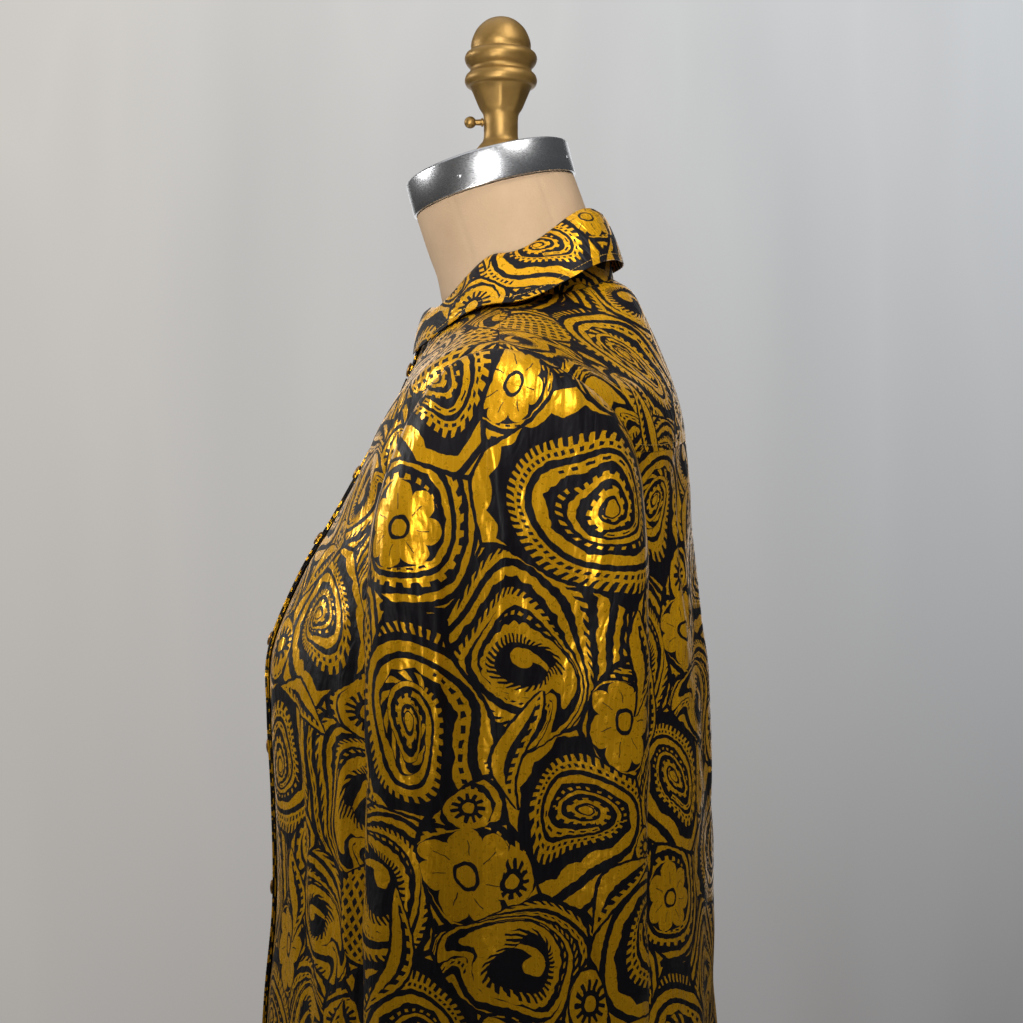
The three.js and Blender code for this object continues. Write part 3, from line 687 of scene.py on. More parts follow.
def noise(place, scale, detail=0.0, dimensions="2D", output="Factor"):
    inputs = {"Vector": place, "Scale": scale, "Detail": detail}
    node = add_node("ShaderNodeTexNoise", inputs, noise_dimensions=dimensions)
    return Field(node.outputs[1 if output == "Color" else 0])


def ramp(value, low, high):
    """0 below low, 1 above high and even between them."""
    node = add_node("ShaderNodeMapRange", {0: value, 1: low, 2: high, 3: 0.0, 4: 1.0})
    return Field(node.outputs[0])


def new_material(name):
    material = bpy.data.materials.new(name)
    material.use_nodes = True
    Field.tree = material.node_tree
    return material, material.node_tree.nodes["Principled BSDF"]


# ---------------------------------------------------------------- the paisley print

PRINT_REPEAT = (270.0, 350.0)
HORN, DROP, FLOWER, GEAR, LATTICE = range(5)
# Each motif's centre and radius, the way its tip points, which way it curls, and its kind.
MOTIFS = (
    (60, 56, 46, 70, 1, HORN),
    (166, 44, 38, 215, -1, DROP),
    (236, 104, 36, -60, 1, HORN),
    (20, 150, 34, 110, -1, DROP),
    (112, 146, 46, -35, 1, HORN),
    (200, 190, 42, 150, -1, DROP),
    (60, 226, 40, 200, -1, HORN),
    (130, 244, 34, 60, 1, DROP),
    (228, 276, 44, -80, -1, HORN),
    (138, 316, 32, 20, 1, DROP),
    (34, 312, 38, -20, 1, DROP),
    (262, 196, 24, 0, 1, FLOWER),
    (170, 104, 20, 0, 1, GEAR),
    (224, 30, 22, 0, 1, FLOWER),
    (64, 124, 15, 0, 1, GEAR),
    (176, 256, 15, 0, -1, GEAR),
    (88, 282, 23, 0, 1, FLOWER),
    (262, 232, 13, 0, 1, GEAR),
    (108, 206, 12, 0, 1, GEAR),
    (6, 98, 18, 0, 1, FLOWER),
    (182, 326, 25, 0, 1, LATTICE),
    (112, 4, 13, 0, 1, GEAR),
    (14, 198, 14, 0, 1, GEAR),
    (176, 146, 10, 0, 1, GEAR),
)
# Long curved leaves laid over the motifs: centre, length, width, turn and bend.
LEAVES = (
    (110, 92, 70, 17, -25, 0.006),
    (216, 146, 62, 15, 70, -0.008),
    (86, 182, 64, 16, 35, 0.008),
    (182, 232, 78, 20, -70, -0.006),
    (20, 262, 66, 16, 80, 0.007),
    (96, 316, 62, 15, 100, -0.008),
)


def wrapped(place, x, y):
    """The way from a repeating point to a place, along the shortest repeat."""
    half = (PRINT_REPEAT[0] / 2, PRINT_REPEAT[1] / 2, 1)
    away = vector_node("SUBTRACT", place, (x, y, 0))
    return vector_node("WRAP", away, half, tuple(-value for value in half))


def nearest_motif(place):
    """For the motif that a place belongs to: the way from its centre, its radius, turn and code, the
    gap to its circle and half the way to the next motif's ground."""
    away, traits, gap, second = None, None, None, None
    for x, y, radius, turn, hand, kind in MOTIFS:
        here = wrapped(place, x, y)
        distance = vector_node("LENGTH", here, output=1) - radius
        mine = (radius, math.radians(turn), hand * (kind + 1))
        if away is None:
            away, gap, traits, second = here, distance, mine, 1000.0
            continue
        closer = distance < gap
        second = least(second, most(gap, distance))
        away = blend_vector(away, here, closer)
        traits = blend_vector(traits, mine, closer)
        gap = least(gap, distance)
    return away, traits, (second - gap) / 2


def nearest_leaf(place):
    """How far inside the nearest leaf's edge a place is, and its way along and across that leaf."""
    inside = None
    for x, y, length, width, turn, bend in LEAVES:
        dx, dy, _ = parts(wrapped(place, x, y))
        c, s = math.cos(math.radians(turn)), math.sin(math.radians(turn))
        run = dx * c + dy * s
        share = run / (length / 2)
        square = share * share
        across = dy * c - dx * s + (square * (bend * length**2 / 4) - bend * length**2 * 0.08)
        half = (1 - square) * (1 + share * 0.35) * (width / 2)
        edge = blend(-50.0, half - size(across), size(share) < 1)
        if inside is None:
            inside, along_it, across_it = edge, run, across
            continue
        closer = edge > inside
        along_it = blend(along_it, run, closer)
        across_it = blend(across_it, across, closer)
        inside = most(inside, edge)
    return inside, along_it, across_it


def horn_bands(s, radius, turn, seed):
    """A ram's horn: toothed and beaded bands along a spiral that grows outwards without an end."""
    growth = 0.80
    phase = math_node("LOGARITHM", s, math.e) / growth - turn
    count = floor(phase)
    f = phase - count
    w = count + turn
    middle = math_node("EXPONENT", (w + 0.5) * growth) * radius
    teeth = middle * (2 * math.pi / growth / 6.8)
    tooth_wave = zigzag(teeth)
    style = frac(w * 0.31 + seed)
    window = between(f, 0.13, 0.21) * (tooth_wave < 0.5) * (style < 0.35)
    rail = between(f, 0.07, 0.26) - window
    tooth = between(f, 0.25, 0.40) * (tooth_wave < 0.90 - f * 1.2)
    streak = between(f, 0.30, 0.62) * (zigzag(teeth * 0.45 + f * 1.6) < 0.45)
    bead = between(f, 0.38, 0.50) * (tooth_wave < 0.42)
    middle_band = blend(blend(tooth, streak, between(style, 0.35, 0.62)), bead, style > 0.84)
    scallop = size(fsin(teeth * (0.33 * math.pi)))
    slit = between(f, 0.78, 0.86) * (tooth_wave < 0.5) * between(style, 0.62, 0.84)
    wide = (f > 0.74 - scallop * 0.09) * (f < 0.93) - slit
    full = most(rail, middle_band, wide)
    thin = most(between(f, 0.08, 0.50), between(f, 0.49, 0.72) * (tooth_wave < 0.52))
    bands = blend(thin, full, middle > 14.0)
    return blend(bands, s < 0.10, s < 0.125)


def drop_rings(s, radius, turn, th, forward, aside):
    """A teardrop: a rim, a thick scalloped crescent with teeth and beads, and a hooked bulb in it."""
    teeth = floor(radius * 0.85) * turn
    tooth_wave = zigzag(teeth)
    scallop = size(fsin(teeth * (0.5 * math.pi)))
    inner = 0.60 - fcos(th) * 0.10
    rim = between(s, 0.91, 1.0)
    leaning = s + fcos(th - 1.3) * 0.11
    beads = between(s, 0.79, 0.845) * (zigzag(teeth * 0.8) < 0.5) * (leaning > 0.895)
    crescent = (leaning > inner + 0.04) * (leaning < 0.78 + scallop * 0.035)
    depth = inner + 0.04 - leaning
    comb = between(depth, -0.01, 0.13) * (tooth_wave < 0.60 - depth * 2)
    f = forward / radius
    a = aside / radius
    bulb = (f + 0.10) * (f + 0.10) + a * a < 0.0272
    hook = size(a - 0.09 + (f + 0.02) * (f + 0.02) * 0.9)
    tail = (hook < 0.085 - f * 0.10) * between(f, -0.10, 0.42)
    return most(rim, crescent, comb, beads, most(bulb, tail) * (depth > 0.15))


def gear_rings(s, radius, turn):
    teeth = zigzag(turn * (floor(radius * 0.6) + 4))
    spokes = between(s, 0.46, 0.78) * (teeth < s * 1.1 - 0.206)
    return most(between(s, 0.76, 1.0), spokes, s < 0.27)


def flower(s, radius, th):
    petals = math_node("SQRT", size(fcos(th * 3.5)))
    vein = (size(fsin(th * 3.5)) * s * radius < 0.9) * between(s, 0.42, 0.72)
    return (s < petals * 0.30 + 0.70) * (1 - vein) * (1 - between(s, 0.20, 0.29))


def lattice(away_x, away_y):
    return most(zigzag((away_x + away_y) / 8.5) < 0.42, zigzag((away_y - away_x) / 8.5) < 0.42)


def ground(e, radius, turn, seed):
    """The ground outside a motif, at e millimetres from it: toothed arms that wind away round it."""
    phase = e / 15.0 - turn
    count = floor(phase)
    f = phase - count
    style = frac((count + turn) * 0.37 + seed * 1.7)
    teeth = floor(radius * 1.05 + 3) * turn
    tooth_wave = zigzag(teeth)
    line = between(f, 0.10, 0.26)
    comb = between(f, 0.25, 0.42) * (tooth_wave < 0.90 - f * 1.2)
    bead = between(f, 0.37, 0.50) * (tooth_wave < 0.42)
    scallop = size(fsin(teeth * (0.5 * math.pi)))
    hole = between(f, 0.74, 0.82) * (tooth_wave > 0.5) * (style > 0.6)
    strap = (f > 0.69 - scallop * 0.07) * (f < 0.89) - hole
    return most(line, blend(comb, bead, style > 0.72), strap)


def leaf_pattern(inside, run, across):
    """A leaf: an outline, one half full and the other with a comb along its edge."""
    comb = between(inside, 1.9, 4.4) * (zigzag(run / 5.6 + across * 0.06) < 0.5)
    return most(between(inside, 0, 2.0), comb, across > 0.6)


def paisley(place):
    """1 where the cloth is printed gold and 0 where it is black, at a place in millimetres."""
    bend = vector_node("SUBTRACT", noise(place, 1 / 60, output="Color"), (0.5, 0.5, 0.5))
    wobble = vector_node("SUBTRACT", noise(place, 1 / 4, output="Color"), (0.5, 0.5, 0.5))
    place = vector_node("MULTIPLY_ADD", bend, (24.0, 24.0, 0.0), place)
    place = vector_node("MULTIPLY_ADD", wobble, (1.1, 1.1, 0.0), place)
    away, traits, border = nearest_motif(place)
    radius, tip, code = parts(traits)
    hand = math_node("SIGN", code)
    kind = size(code) - 1
    seed = frac(radius * 0.37 + tip)
    is_drop = between(kind, 0.5, 1.5)
    is_big = kind < 1.5
    tip_x, tip_y = fcos(tip), fsin(tip)
    away_x, away_y, _ = parts(away)
    shift = radius * (is_drop * 0.55 + 0.45) * is_big * 0.24
    px = away_x + shift * tip_x
    py = away_y + shift * tip_y
    forward = px * tip_x + py * tip_y
    aside = (py * tip_x - px * tip_y) * hand
    r = math_node("SQRT", px * px + py * py)
    curl = (r / radius - 0.75) * (is_drop * 1.1 + 0.5) * is_big
    th = math_node("WRAP", math_node("ARCTAN2", aside, forward) + curl, math.pi, -math.pi)
    th_share = th / (0.60 - is_drop * 0.12)
    drawn_out = math_node("EXPONENT", 0 - th_share * th_share) * (is_drop * 0.30 + 0.34) + 0.74
    reach = blend(1.0, drawn_out, is_big)
    s = r / reach / radius
    turn = frac(th / (2 * math.pi) + 0.5)
    horn = horn_bands(s, radius, turn, seed)
    motif = blend(horn, drop_rings(s, radius, turn, th, forward, aside), is_drop)
    motif = blend(motif, flower(s, radius, th), between(kind, 1.5, 2.5))
    motif = blend(motif, gear_rings(s, radius, turn), between(kind, 2.5, 3.5))
    motif = blend(motif, lattice(away_x, away_y), kind > 3.5)
    e = (s - 1) * radius * reach
    outside = blend(ground(e, radius, turn, seed), horn, kind < 0.5)
    gold = blend(motif, outside, e > 0)
    gold = gold * (1 - (border < 1.1) * (e > 0.8))
    inside, run, across = nearest_leaf(place)
    gold = blend(gold, leaf_pattern(inside, run, across), inside > 0)
    return gold * (1 - between(inside, -1.9, 0))


# ---------------------------------------------------------------- materials


def dress(shader, colour, roughness, height, depth, metallic=None):
    """Links a shader's colour and roughness, and its bumps, which are up to depth metres high."""
    links = Field.tree.links
    links.new(colour.socket, shader.inputs["Base Color"])
    links.new(roughness.socket, shader.inputs["Roughness"])
    if metallic is not None:
        links.new(metallic.socket, shader.inputs["Metallic"])
    bump = add_node("ShaderNodeBump", {"Strength": 0.5, "Distance": depth, "Height": height})
    links.new(bump.outputs[0], shader.inputs["Normal"])


GOLD_INK = (0.54, 0.262, 0.004, 1)
GOLD_THREAD = (0.66, 0.36, 0.012, 1)
BLACK_INK = (0.0035, 0.0028, 0.0045, 1)
THREAD_PITCH = 5.5
INK_ROUGHNESS = {"black": 0.52, "gold": 0.29, "unevenness": 0.12}
INK_METALLIC = 0.45
SATIN_SPECULAR = 0.14
CRUMPLE_DEPTH = 0.0034


def printed_satin():
    """Satin printed on the flat cut, with crumples drawn out along the cloth and a fine weave."""
    material, shader = new_material("printed_satin")
    cut = Field(add_node("ShaderNodeUVMap", uv_map="cut").outputs[0])
    place = vector_node("MULTIPLY", cut, (1 / MM, 1 / MM, 1 / MM))
    gold = paisley(place)
    thread = zigzag(parts(place)[0] / THREAD_PITCH) > 0.93
    tone = noise(place, 1 / 25, 2.0)
    ink = blend_colour(GOLD_INK, GOLD_THREAD, thread * 0.5 + tone * 0.4)
    unevenness = (noise(place, 1 / 3, 2.0) - 0.5) * INK_ROUGHNESS["unevenness"]
    hanging = vector_node("MULTIPLY", cut, (1.5, 0.5, 1.0))
    crease = ramp(size(noise(hanging, 48.0, 1.0) - 0.5), 0.0, 0.06)
    crumple = noise(hanging, 75.0, 2.0) + noise(cut, 160.0, 2.0) * 0.22 + crease * 0.10
    weave = noise(cut, 1600.0) * 0.03
    shader.inputs["Specular IOR Level"].default_value = SATIN_SPECULAR
    dress(
        shader,
        colour=blend_colour(BLACK_INK, ink, gold),
        roughness=blend(INK_ROUGHNESS["black"], INK_ROUGHNESS["gold"], gold) + unevenness,
        metallic=gold * INK_METALLIC,
        height=crumple + weave,
        depth=CRUMPLE_DEPTH,
    )
    return material


def plain(name, colour, roughness, metallic=0.0):
    material, shader = new_material(name)
    shader.inputs["Base Color"].default_value = (*colour, 1)
    shader.inputs["Roughness"].default_value = roughness
    shader.inputs["Metallic"].default_value = metallic
    return material, shader


def speckled(name, dark, light, roughness, metallic, grain, depth, stretch=(1, 1, 1)):
    """A material mottled between two colours, with a fine grain of its own size in metres."""
    material, shader = plain(name, light, roughness, metallic)
    place = Field(add_node("ShaderNodeTexCoord").outputs["Object"])
    place = vector_node("MULTIPLY", place, stretch)
    patches = noise(place, 45.0, 4.0, "3D")
    fine = noise(place, 1 / grain, 2.0, "3D")
    colour = blend_colour((*dark, 1), (*light, 1), patches * 0.7 + fine * 0.3)
    dress(shader, colour, fine * 0.2 + (roughness - 0.1), fine, depth)
    return material


# Each one's dark and light colour, roughness, metallic share, and its grain's size and depth.
LOOKS = {
    "canvas": ((0.265, 0.178, 0.106), (0.40, 0.285, 0.18), 0.85, 0.0, 0.0011, 0.0004),
    "brushed_metal": ((0.40, 0.41, 0.43), (0.56, 0.57, 0.60), 0.27, 1.0, 0.002, 0.00005, (1, 1, 12)),
    "aged_brass": ((0.11, 0.062, 0.018), (0.34, 0.205, 0.055), 0.46, 0.75, 0.004, 0.0003),
    "button_gold": ((0.10, 0.045, 0.006), (0.24, 0.115, 0.012), 0.3, 0.7, 0.002, 0.0001),
    "gold_thread": ((0.30, 0.17, 0.02), (0.44, 0.26, 0.03), 0.5, 0.0, 0.0006, 0.0001),
    "painted_steel": ((0.012, 0.012, 0.013), (0.022, 0.022, 0.024), 0.4, 0.0, 0.001, 0.00005),
}

SATIN = printed_satin()
CANVAS, BRUSHED, BRASS, BUTTON_GOLD, THREAD, PAINT = (
    speckled(name, *look) for name, look in LOOKS.items()
)

# ---------------------------------------------------------------- the body of the blouse

GRID = 4.0
STITCH = {"length": 2.1, "pitch": 3.0, "radius": 0.24}
# Where along a stitch its sections lie, as shares of its length, and their share of its radius.
STITCH_SECTIONS = ((-0.5, 0.4), (-0.35, 1), (0.35, 1), (0.5, 0.4))
# The row of a piece's grid that is stitched, from its last row up.
HEM_STITCH_ROW = -4
FALL_STITCH_ROW = -3
YOKE_STITCH_ROW = -2


def levels_between(point, start, end, angle, step=GRID):
    """Levels that lie evenly along a surface, a step apart."""
    fine = np.linspace(start, end, 400)
    places = point(fine, np.full_like(fine, angle))
    run = np.concatenate([[0], np.cumsum(np.linalg.norm(np.diff(places, axis=0), axis=1))])
    return np.interp(np.linspace(0, run[-1], max(int(run[-1] / step), 2) + 1), run, fine)


def armhole_levels(start_turn, end_turn, count):
    return 6 - 2 * cos(np.linspace(start_turn, end_turn, count))


def spread(start, end, count):
    """Rows of angles: evenly from each row's start to its end."""
    share = np.linspace(0, 1, count)
    start, end = np.broadcast_arrays(start, end)
    return start[:, None] * (1 - share) + end[:, None] * share


def seam_turn(level, reach):
    return np.degrees(SEAM / 2 / along(BODY_RINGS, reach, level))


def angle_across(distance, level):
    return np.degrees(np.arcsin(distance / along(BODY_RINGS, "side", level)))


def surface(point, side, levels, angles, lift=0.0):
    level = np.broadcast_to(levels[:, None], angles.shape)
    normals = normal_at(point, level, angles, side)
    return point(level, angles) + normals * np.broadcast_to(lift, angles.shape)[..., None], normals


FRONT_LEVELS = np.concatenate(
    [
        levels_between(body_point, 0, 4, 45)[:-1],
        armhole_levels(0, 180, 70),
        levels_between(body_point, 8, HEM_LEVEL, 60)[1:],
    ]
)

# Creases seen from the side, as height, width and (y, z) stops, and from the front or back, in (x, z).
FRONT_SIDE_CREASES = (
    (-3.4, 4.5, (-133, 1100), (-129, 1020), (-125, 950), (-121, 860), (-119, 800)),
    (2.4, 4, (-124, 1110), (-119, 1020), (-115, 930), (-112, 860)),
    (2.0, 4.5, (-97, 1160), (-97, 1060), (-95, 960), (-92, 880)),
    (-1.8, 5, (-107, 1120), (-106, 1030), (-103, 940)),
    (2.2, 5, (-62, 1258), (-84, 1206), (-108, 1150)),
    (-2.2, 4.5, (-70, 1262), (-94, 1210), (-120, 1152)),
    (1.8, 4, (-84, 1248), (-106, 1200), (-130, 1150)),
    (1.8, 4, (-144, 1090), (-141, 1010), (-136, 900)),
)
FRONT_CREASES = (
    (1.5, 9, (110, 1150), (104, 1040), (112, 900)),
    (-1.5, 10, (74, 1110), (70, 980), (76, 840)),
    (1.3, 9, (-96, 1160), (-104, 1020), (-96, 860)),
    (-1.5, 9, (-60, 1090), (-66, 960), (-58, 800)),
    (1.2, 8, (140, 1060), (146, 960), (140, 800)),
    (1.2, 8, (-142, 1080), (-138, 940), (-146, 800)),
)
BACK_CREASES = (
    (-1.8, 5, (84, 1222), (86, 1170), (84, 1110)),
    (1.5, 6, (96, 1224), (98, 1150), (96, 1080)),
    (-1.8, 5, (-80, 1222), (-84, 1160), (-80, 1100)),
    (1.5, 6, (-92, 1224), (-96, 1140), (-92, 1060)),
    (1.4, 9, (30, 1180), (34, 1040), (26, 900)),
    (-1.4, 9, (-20, 1140), (-26, 1000), (-16, 840)),
    (1.4, 10, (-60, 1040), (-64, 900), (-58, 740)),
    (1.4, 10, (120, 1060), (126, 930), (118, 760)),
)

FRONT_COLUMNS = 111
PLACKET_COLUMNS = 13
# The angles between which the creases set in, clear of the buttoned edge.
CREASES_START = {"front_left": (6, 25), "front_right": (10, 28)}


def build_fronts():
    """The fronts: the left one lies under, and the right one is lifted over it at the centre."""
    levels = FRONT_LEVELS
    edge = 90 - seam_turn(levels, "front") - armhole_cut(levels, ARMHOLE["front"])
    for node, side, lap, lifted, seed, print_at in (
        ("front_left", 1, FRONT_OVERLAP["under"], 0, 11, (12, 40)),
        ("front_right", -1, FRONT_OVERLAP["over"], FRONT_OVERLAP["lift"], 12, (-40, 130)),
    ):
        angles = spread(side * angle_across(-lap, levels), side * edge, FRONT_COLUMNS)
        across = side * along(BODY_RINGS, "side", levels)[:, None] * sin(angles)
        lift = lifted * (1 - smooth(across, lap, FRONT_OVERLAP["fade"]))
        points, normals = surface(body_point, 1, levels, angles, lift)
        hold = smooth(side * angles, *CREASES_START[node])
        points = creased(points, normals, FRONT_SIDE_CREASES, FRONT_CREASES, seed=seed, hold=hold)
        cloth(node, points, normals, print_at, grain=4, stitched=[HEM_STITCH_ROW])


def build_placket():
    levels = np.concatenate([[PLACKET_TOP], FRONT_LEVELS[FRONT_LEVELS > PLACKET_TOP + 0.02]])
    half = angle_across(PLACKET_HALF, levels)
    angles = spread(half, -half, PLACKET_COLUMNS)
    points, normals = surface(body_point, 1, levels, angles, PLACKET_LIFT)
    cloth("placket", points, normals, (150, 20), PLACKET_COLUMNS // 2, DOUBLED)
    stitches("placket_stitches", *((points[:, column], normals[:, column]) for column in (1, -2)))


def build_back():
    """The yoke and the back, which meet at the yoke seam, a hair's breadth apart."""
    clearance = 0.004
    top = np.concatenate([levels_between(body_point, 0, 4, 135)[:-1], armhole_levels(0, 74.6, 26)])
    yoke_levels = np.append(top[:-1], YOKE_SEAM_LEVEL - clearance)
    back_levels = np.concatenate(
        [
            [YOKE_SEAM_LEVEL + clearance],
            armhole_levels(76, 180, 44),
            levels_between(body_point, 8, HEM_LEVEL, 120)[1:],
        ]
    )
    for node, levels, columns, print_at, stitch_row in (
        ("yoke", yoke_levels, 110, (60, 210), YOKE_STITCH_ROW),
        ("back", back_levels, 116, (90, 100), HEM_STITCH_ROW),
    ):
        edge = 90 + seam_turn(levels, "back") + armhole_cut(levels, ARMHOLE["back"])
        angles = spread(edge, 360 - edge, columns)
        points, normals = surface(back_point, 1, levels, angles)
        hold = smooth(levels, 4.5, 6)[:, None] + 0 * angles
        points = creased(points, normals, (), BACK_CREASES, seed=13, hold=hold)
        cloth(node, points, normals, print_at, columns // 2, stitched=[stitch_row])


# ---------------------------------------------------------------- sleeves and cuffs

SLEEVE_CREASES = (
    (2.6, 3.4, (-12, 1288), (-8, 1262), (-1, 1217), (3, 1190), (1, 1150), (-2, 1120), (-10, 1085)),
    (2.2, 3.6, (-9, 1100), (-9, 1020), (-11, 950), (-12, 880), (-10, 820)),
    (-2.0, 5, (10, 1250), (13, 1180), (9, 1110), (4, 1020)),
    (2.6, 3.4, (-46, 1180), (-43, 1120), (-42, 1050), (-44, 1010)),
    (-2.2, 4, (-36, 1190), (-35, 1120), (-34, 1060)),
    (1.8, 3.6, (-52, 1030), (-53, 940), (-50, 830)),
    (1.6, 4, (43, 1290), (44, 1250), (46, 1215)),
    (2.2, 3.6, (59, 1010), (58, 925), (54, 830)),
    (-1.8, 5, (40, 1170), (34, 1090), (37, 980)),
    (2.0, 4.5, (66, 1235), (60, 1190), (52, 1140)),
    (-1.8, 4.5, (-64, 1220), (-59, 1160), (-62, 1090)),
    (1.6, 4, (22, 960), (25, 900), (21, 820)),
    (-1.6, 4.5, (-28, 970), (-26, 900), (-30, 820)),
    (1.4, 3.5, (28, 1120), (22, 1060), (24, 1000)),
)

SLEEVE_COLUMNS = 221
SLEEVE_ROW_STEP = 4.2
CUFF_ROWS = 20
CUFF_COLUMNS = 121
# The buttoned end of the cuff lies over the other: where it steps up and where it has sunk back.
CUFF_LAP = {"step": (-72, -70), "sink": (-40, -10), "lift": 0.8}
# What a left piece's points are multiplied by on each side.
SIDES = {"left": np.array((1, 1, 1)), "right": np.array((-1, 1, 1))}


def build_sleeves():
    rings = levels_between(sleeve_point, 0, SLEEVE_LAST, 0, SLEEVE_ROW_STEP)
    angles = spread(np.full_like(rings, -180), np.full_like(rings, 180), SLEEVE_COLUMNS)
    points, normals = surface(sleeve_point, -1, rings, angles)
    hold = smooth(rings, 0, 0.8)[:, None] * smooth(SLEEVE_LAST - rings, 0, 0.6)[:, None] + 0 * angles
    for side, seed, print_at in (("left", 14, (0, 0)), ("right", 15, (120, 190))):
        moved = creased(points, normals, SLEEVE_CREASES, (), seed=seed, hold=hold)
        mirror = SIDES[side]
        cloth(f"sleeve_{side}", moved * mirror, normals * mirror, print_at, SLEEVE_COLUMNS // 2)


def build_cuffs():
    shares = np.linspace(0, 1, CUFF_ROWS)
    angles = spread(np.full_like(shares, -180), np.full_like(shares, 180), CUFF_COLUMNS)
    lap = smooth(angles, *CUFF_LAP["step"]) * (1 - smooth(angles, *CUFF_LAP["sink"]))
    points, normals = surface(cuff_point, -1, shares, angles, lap * CUFF_LAP["lift"])
    for side, print_at in (("left", (30, 90)), ("right", (200, 20))):
        mirror = SIDES[side]
        grids = (points * mirror, normals * mirror)
        cloth(f"cuff_{side}", *grids, print_at, CUFF_COLUMNS // 2, DOUBLED, stitched=(1, -2))


# ---------------------------------------------------------------- collar

STAND_GRID = {"rows": 16, "columns": 130}
FALL_GRID = {"rows": 24, "columns": 140}
FALL_THICKNESS = 0.72
ROLL_RADIUS = 1.5


def build_collar_stand():
    rings = np.linspace(0, 2, STAND_GRID["rows"])
    side = along(STAND_RINGS, "side", rings)
    start = -np.degrees(np.arcsin(STAND_OVERLAP["under"] / side))
    end = 360 + np.degrees(np.arcsin(STAND_OVERLAP["over"] / side))
    angles = spread(start, end, STAND_GRID["columns"])
    lift = STAND_OVERLAP["lift"] * smooth(angles, STAND_OVERLAP["fade_from"], STAND_OVERLAP["fade_to"])
    points, normals = surface(stand_point, -1, rings, angles, lift)
    grain = STAND_GRID["columns"] // 2
    cloth("collar_stand", points[::-1], normals[::-1], (10, 60), grain, DOUBLED)


def build_collar_fall():
    """The collar's outer leaf, which rolls over the stand's edge before it falls."""
    rings = np.linspace(0, 3, FALL_GRID["rows"])
    start = np.full_like(rings, FALL_OPEN_ANGLE)
    angles = spread(start, 360 - start, FALL_GRID["columns"])
    points, normals = surface(fall_point, 1, rings, angles)
    up = points[0] - points[1]
    up /= np.linalg.norm(up, axis=-1, keepdims=True)
    out = normals[0]
    roll = [
        points[0] + (out * (cos(turn) - 1) + up * sin(turn)) * ROLL_RADIUS
        for turn in range(150, 0, -30)
    ]
    points = np.concatenate([roll, points])
    normals = np.concatenate([np.repeat(normals[:1], len(roll), 0), normals])
    grain = FALL_GRID["columns"] // 2
    cloth("collar_fall", points, normals, (60, 60), grain, FALL_THICKNESS, stitched=[FALL_STITCH_ROW])


# ---------------------------------------------------------------- buttons

BUTTON_PROFILE = (
    (0, 0),
    (4.2, 0),
    (5.0, 0.4),
    (5.2, 0.9),
    (5.0, 1.4),
    (4.4, 1.8),
    (3.3, 2.1),
    (1.8, 2.3),
    (0, 2.35),
)
# The button on the collar stand, and the six below it.
FRONT_BUTTONS = 7
BUTTON_SEGMENTS = 32


def build_button(node, middle_x, middle_y):
    """A button in its node's place, which faces the thinnest way through it, out from a middle line."""
    corners = np.array([vertex.co for vertex in frame["nodes"][node].data.vertices])
    centre = corners.mean(0)
    axis = np.linalg.svd(corners - centre, full_matrices=False)[2][2]
    outward = centre - (middle_x * MM, middle_y * MM, centre[2])
    axis = axis * np.sign(axis @ outward)
    seat = centre + axis * ((corners - centre) @ axis).min()
    place = Vector((0, 0, 1)).rotation_difference(Vector(axis)).to_matrix().to_4x4()
    place.translation = seat
    button = turned(f"{node}_dome", BUTTON_PROFILE, BUTTON_SEGMENTS)
    button.data.transform(place)
    finish(button, BUTTON_GOLD, "button_gold", node)


def build_buttons():
    for i in range(FRONT_BUTTONS):
        build_button(f"button_{i + 1}", 0, 0)
    cuff_x = (CUFF["outX"] + CUFF["inX"]) / 2
    cuff_y = (CUFF["frontY"] + CUFF["backY"]) / 2
    for side, mirror in SIDES.items():
        build_button(f"cuff_button_{side}", cuff_x * mirror[0], cuff_y)


# ---------------------------------------------------------------- dress form

NECK_BAND = {"radius": 58.5, "height": 24, "centre_y": -4, "low_z": 1420.4, "lean": 15}
RIVET_AZIMUTHS = (-22, 68, 158, 248)
RIVET_HEIGHT = 9.7
RIVET_PROFILE = ((0, -1), (1.5, -1), (1.5, 0.25), (1.1, 0.55), (0, 0.7))
BOSS_PROFILE = ((0, 1440), (15, 1440), (15, 1451.4), (14.4, 1452), (0, 1452))
SCREW_SHANK = ((0, 0), (2, 0), (2, 8.2), (3, 8.6), (3, 9.6), (2.2, 10))
SCREW_BALL = {"radius": 4.2, "middle": 17.5, "steps": 14}
# The y and z of the screw's hidden end.
SCREW_SEAT = (-4, 1472.5)
POLE_FOOT = ((0, 34.3), (14, 34.3))
# The flange that bears the form: each radius, and how far below the form it is.
POLE_FLANGE = ((14, 9), (15, 8), (44, 8), (45, 7), (45, 1), (44, 0), (0, 0))
BASE_PROFILE = (
    *((0, 0), (212, 0), (214.4, 1), (215, 3), (215, 7), (214, 9.5), (209, 12), (160, 15.4)),
    *((107, 18), (60, 19.4), (38, 21), (33.5, 23), (32, 26), (32, 33), (31, 34), (0, 34)),
)
CANVAS_SEAMS = {"angles": (0, 58.6, 122, 180, 238, 301.4), "depth": 0.5, "width": 1.6}
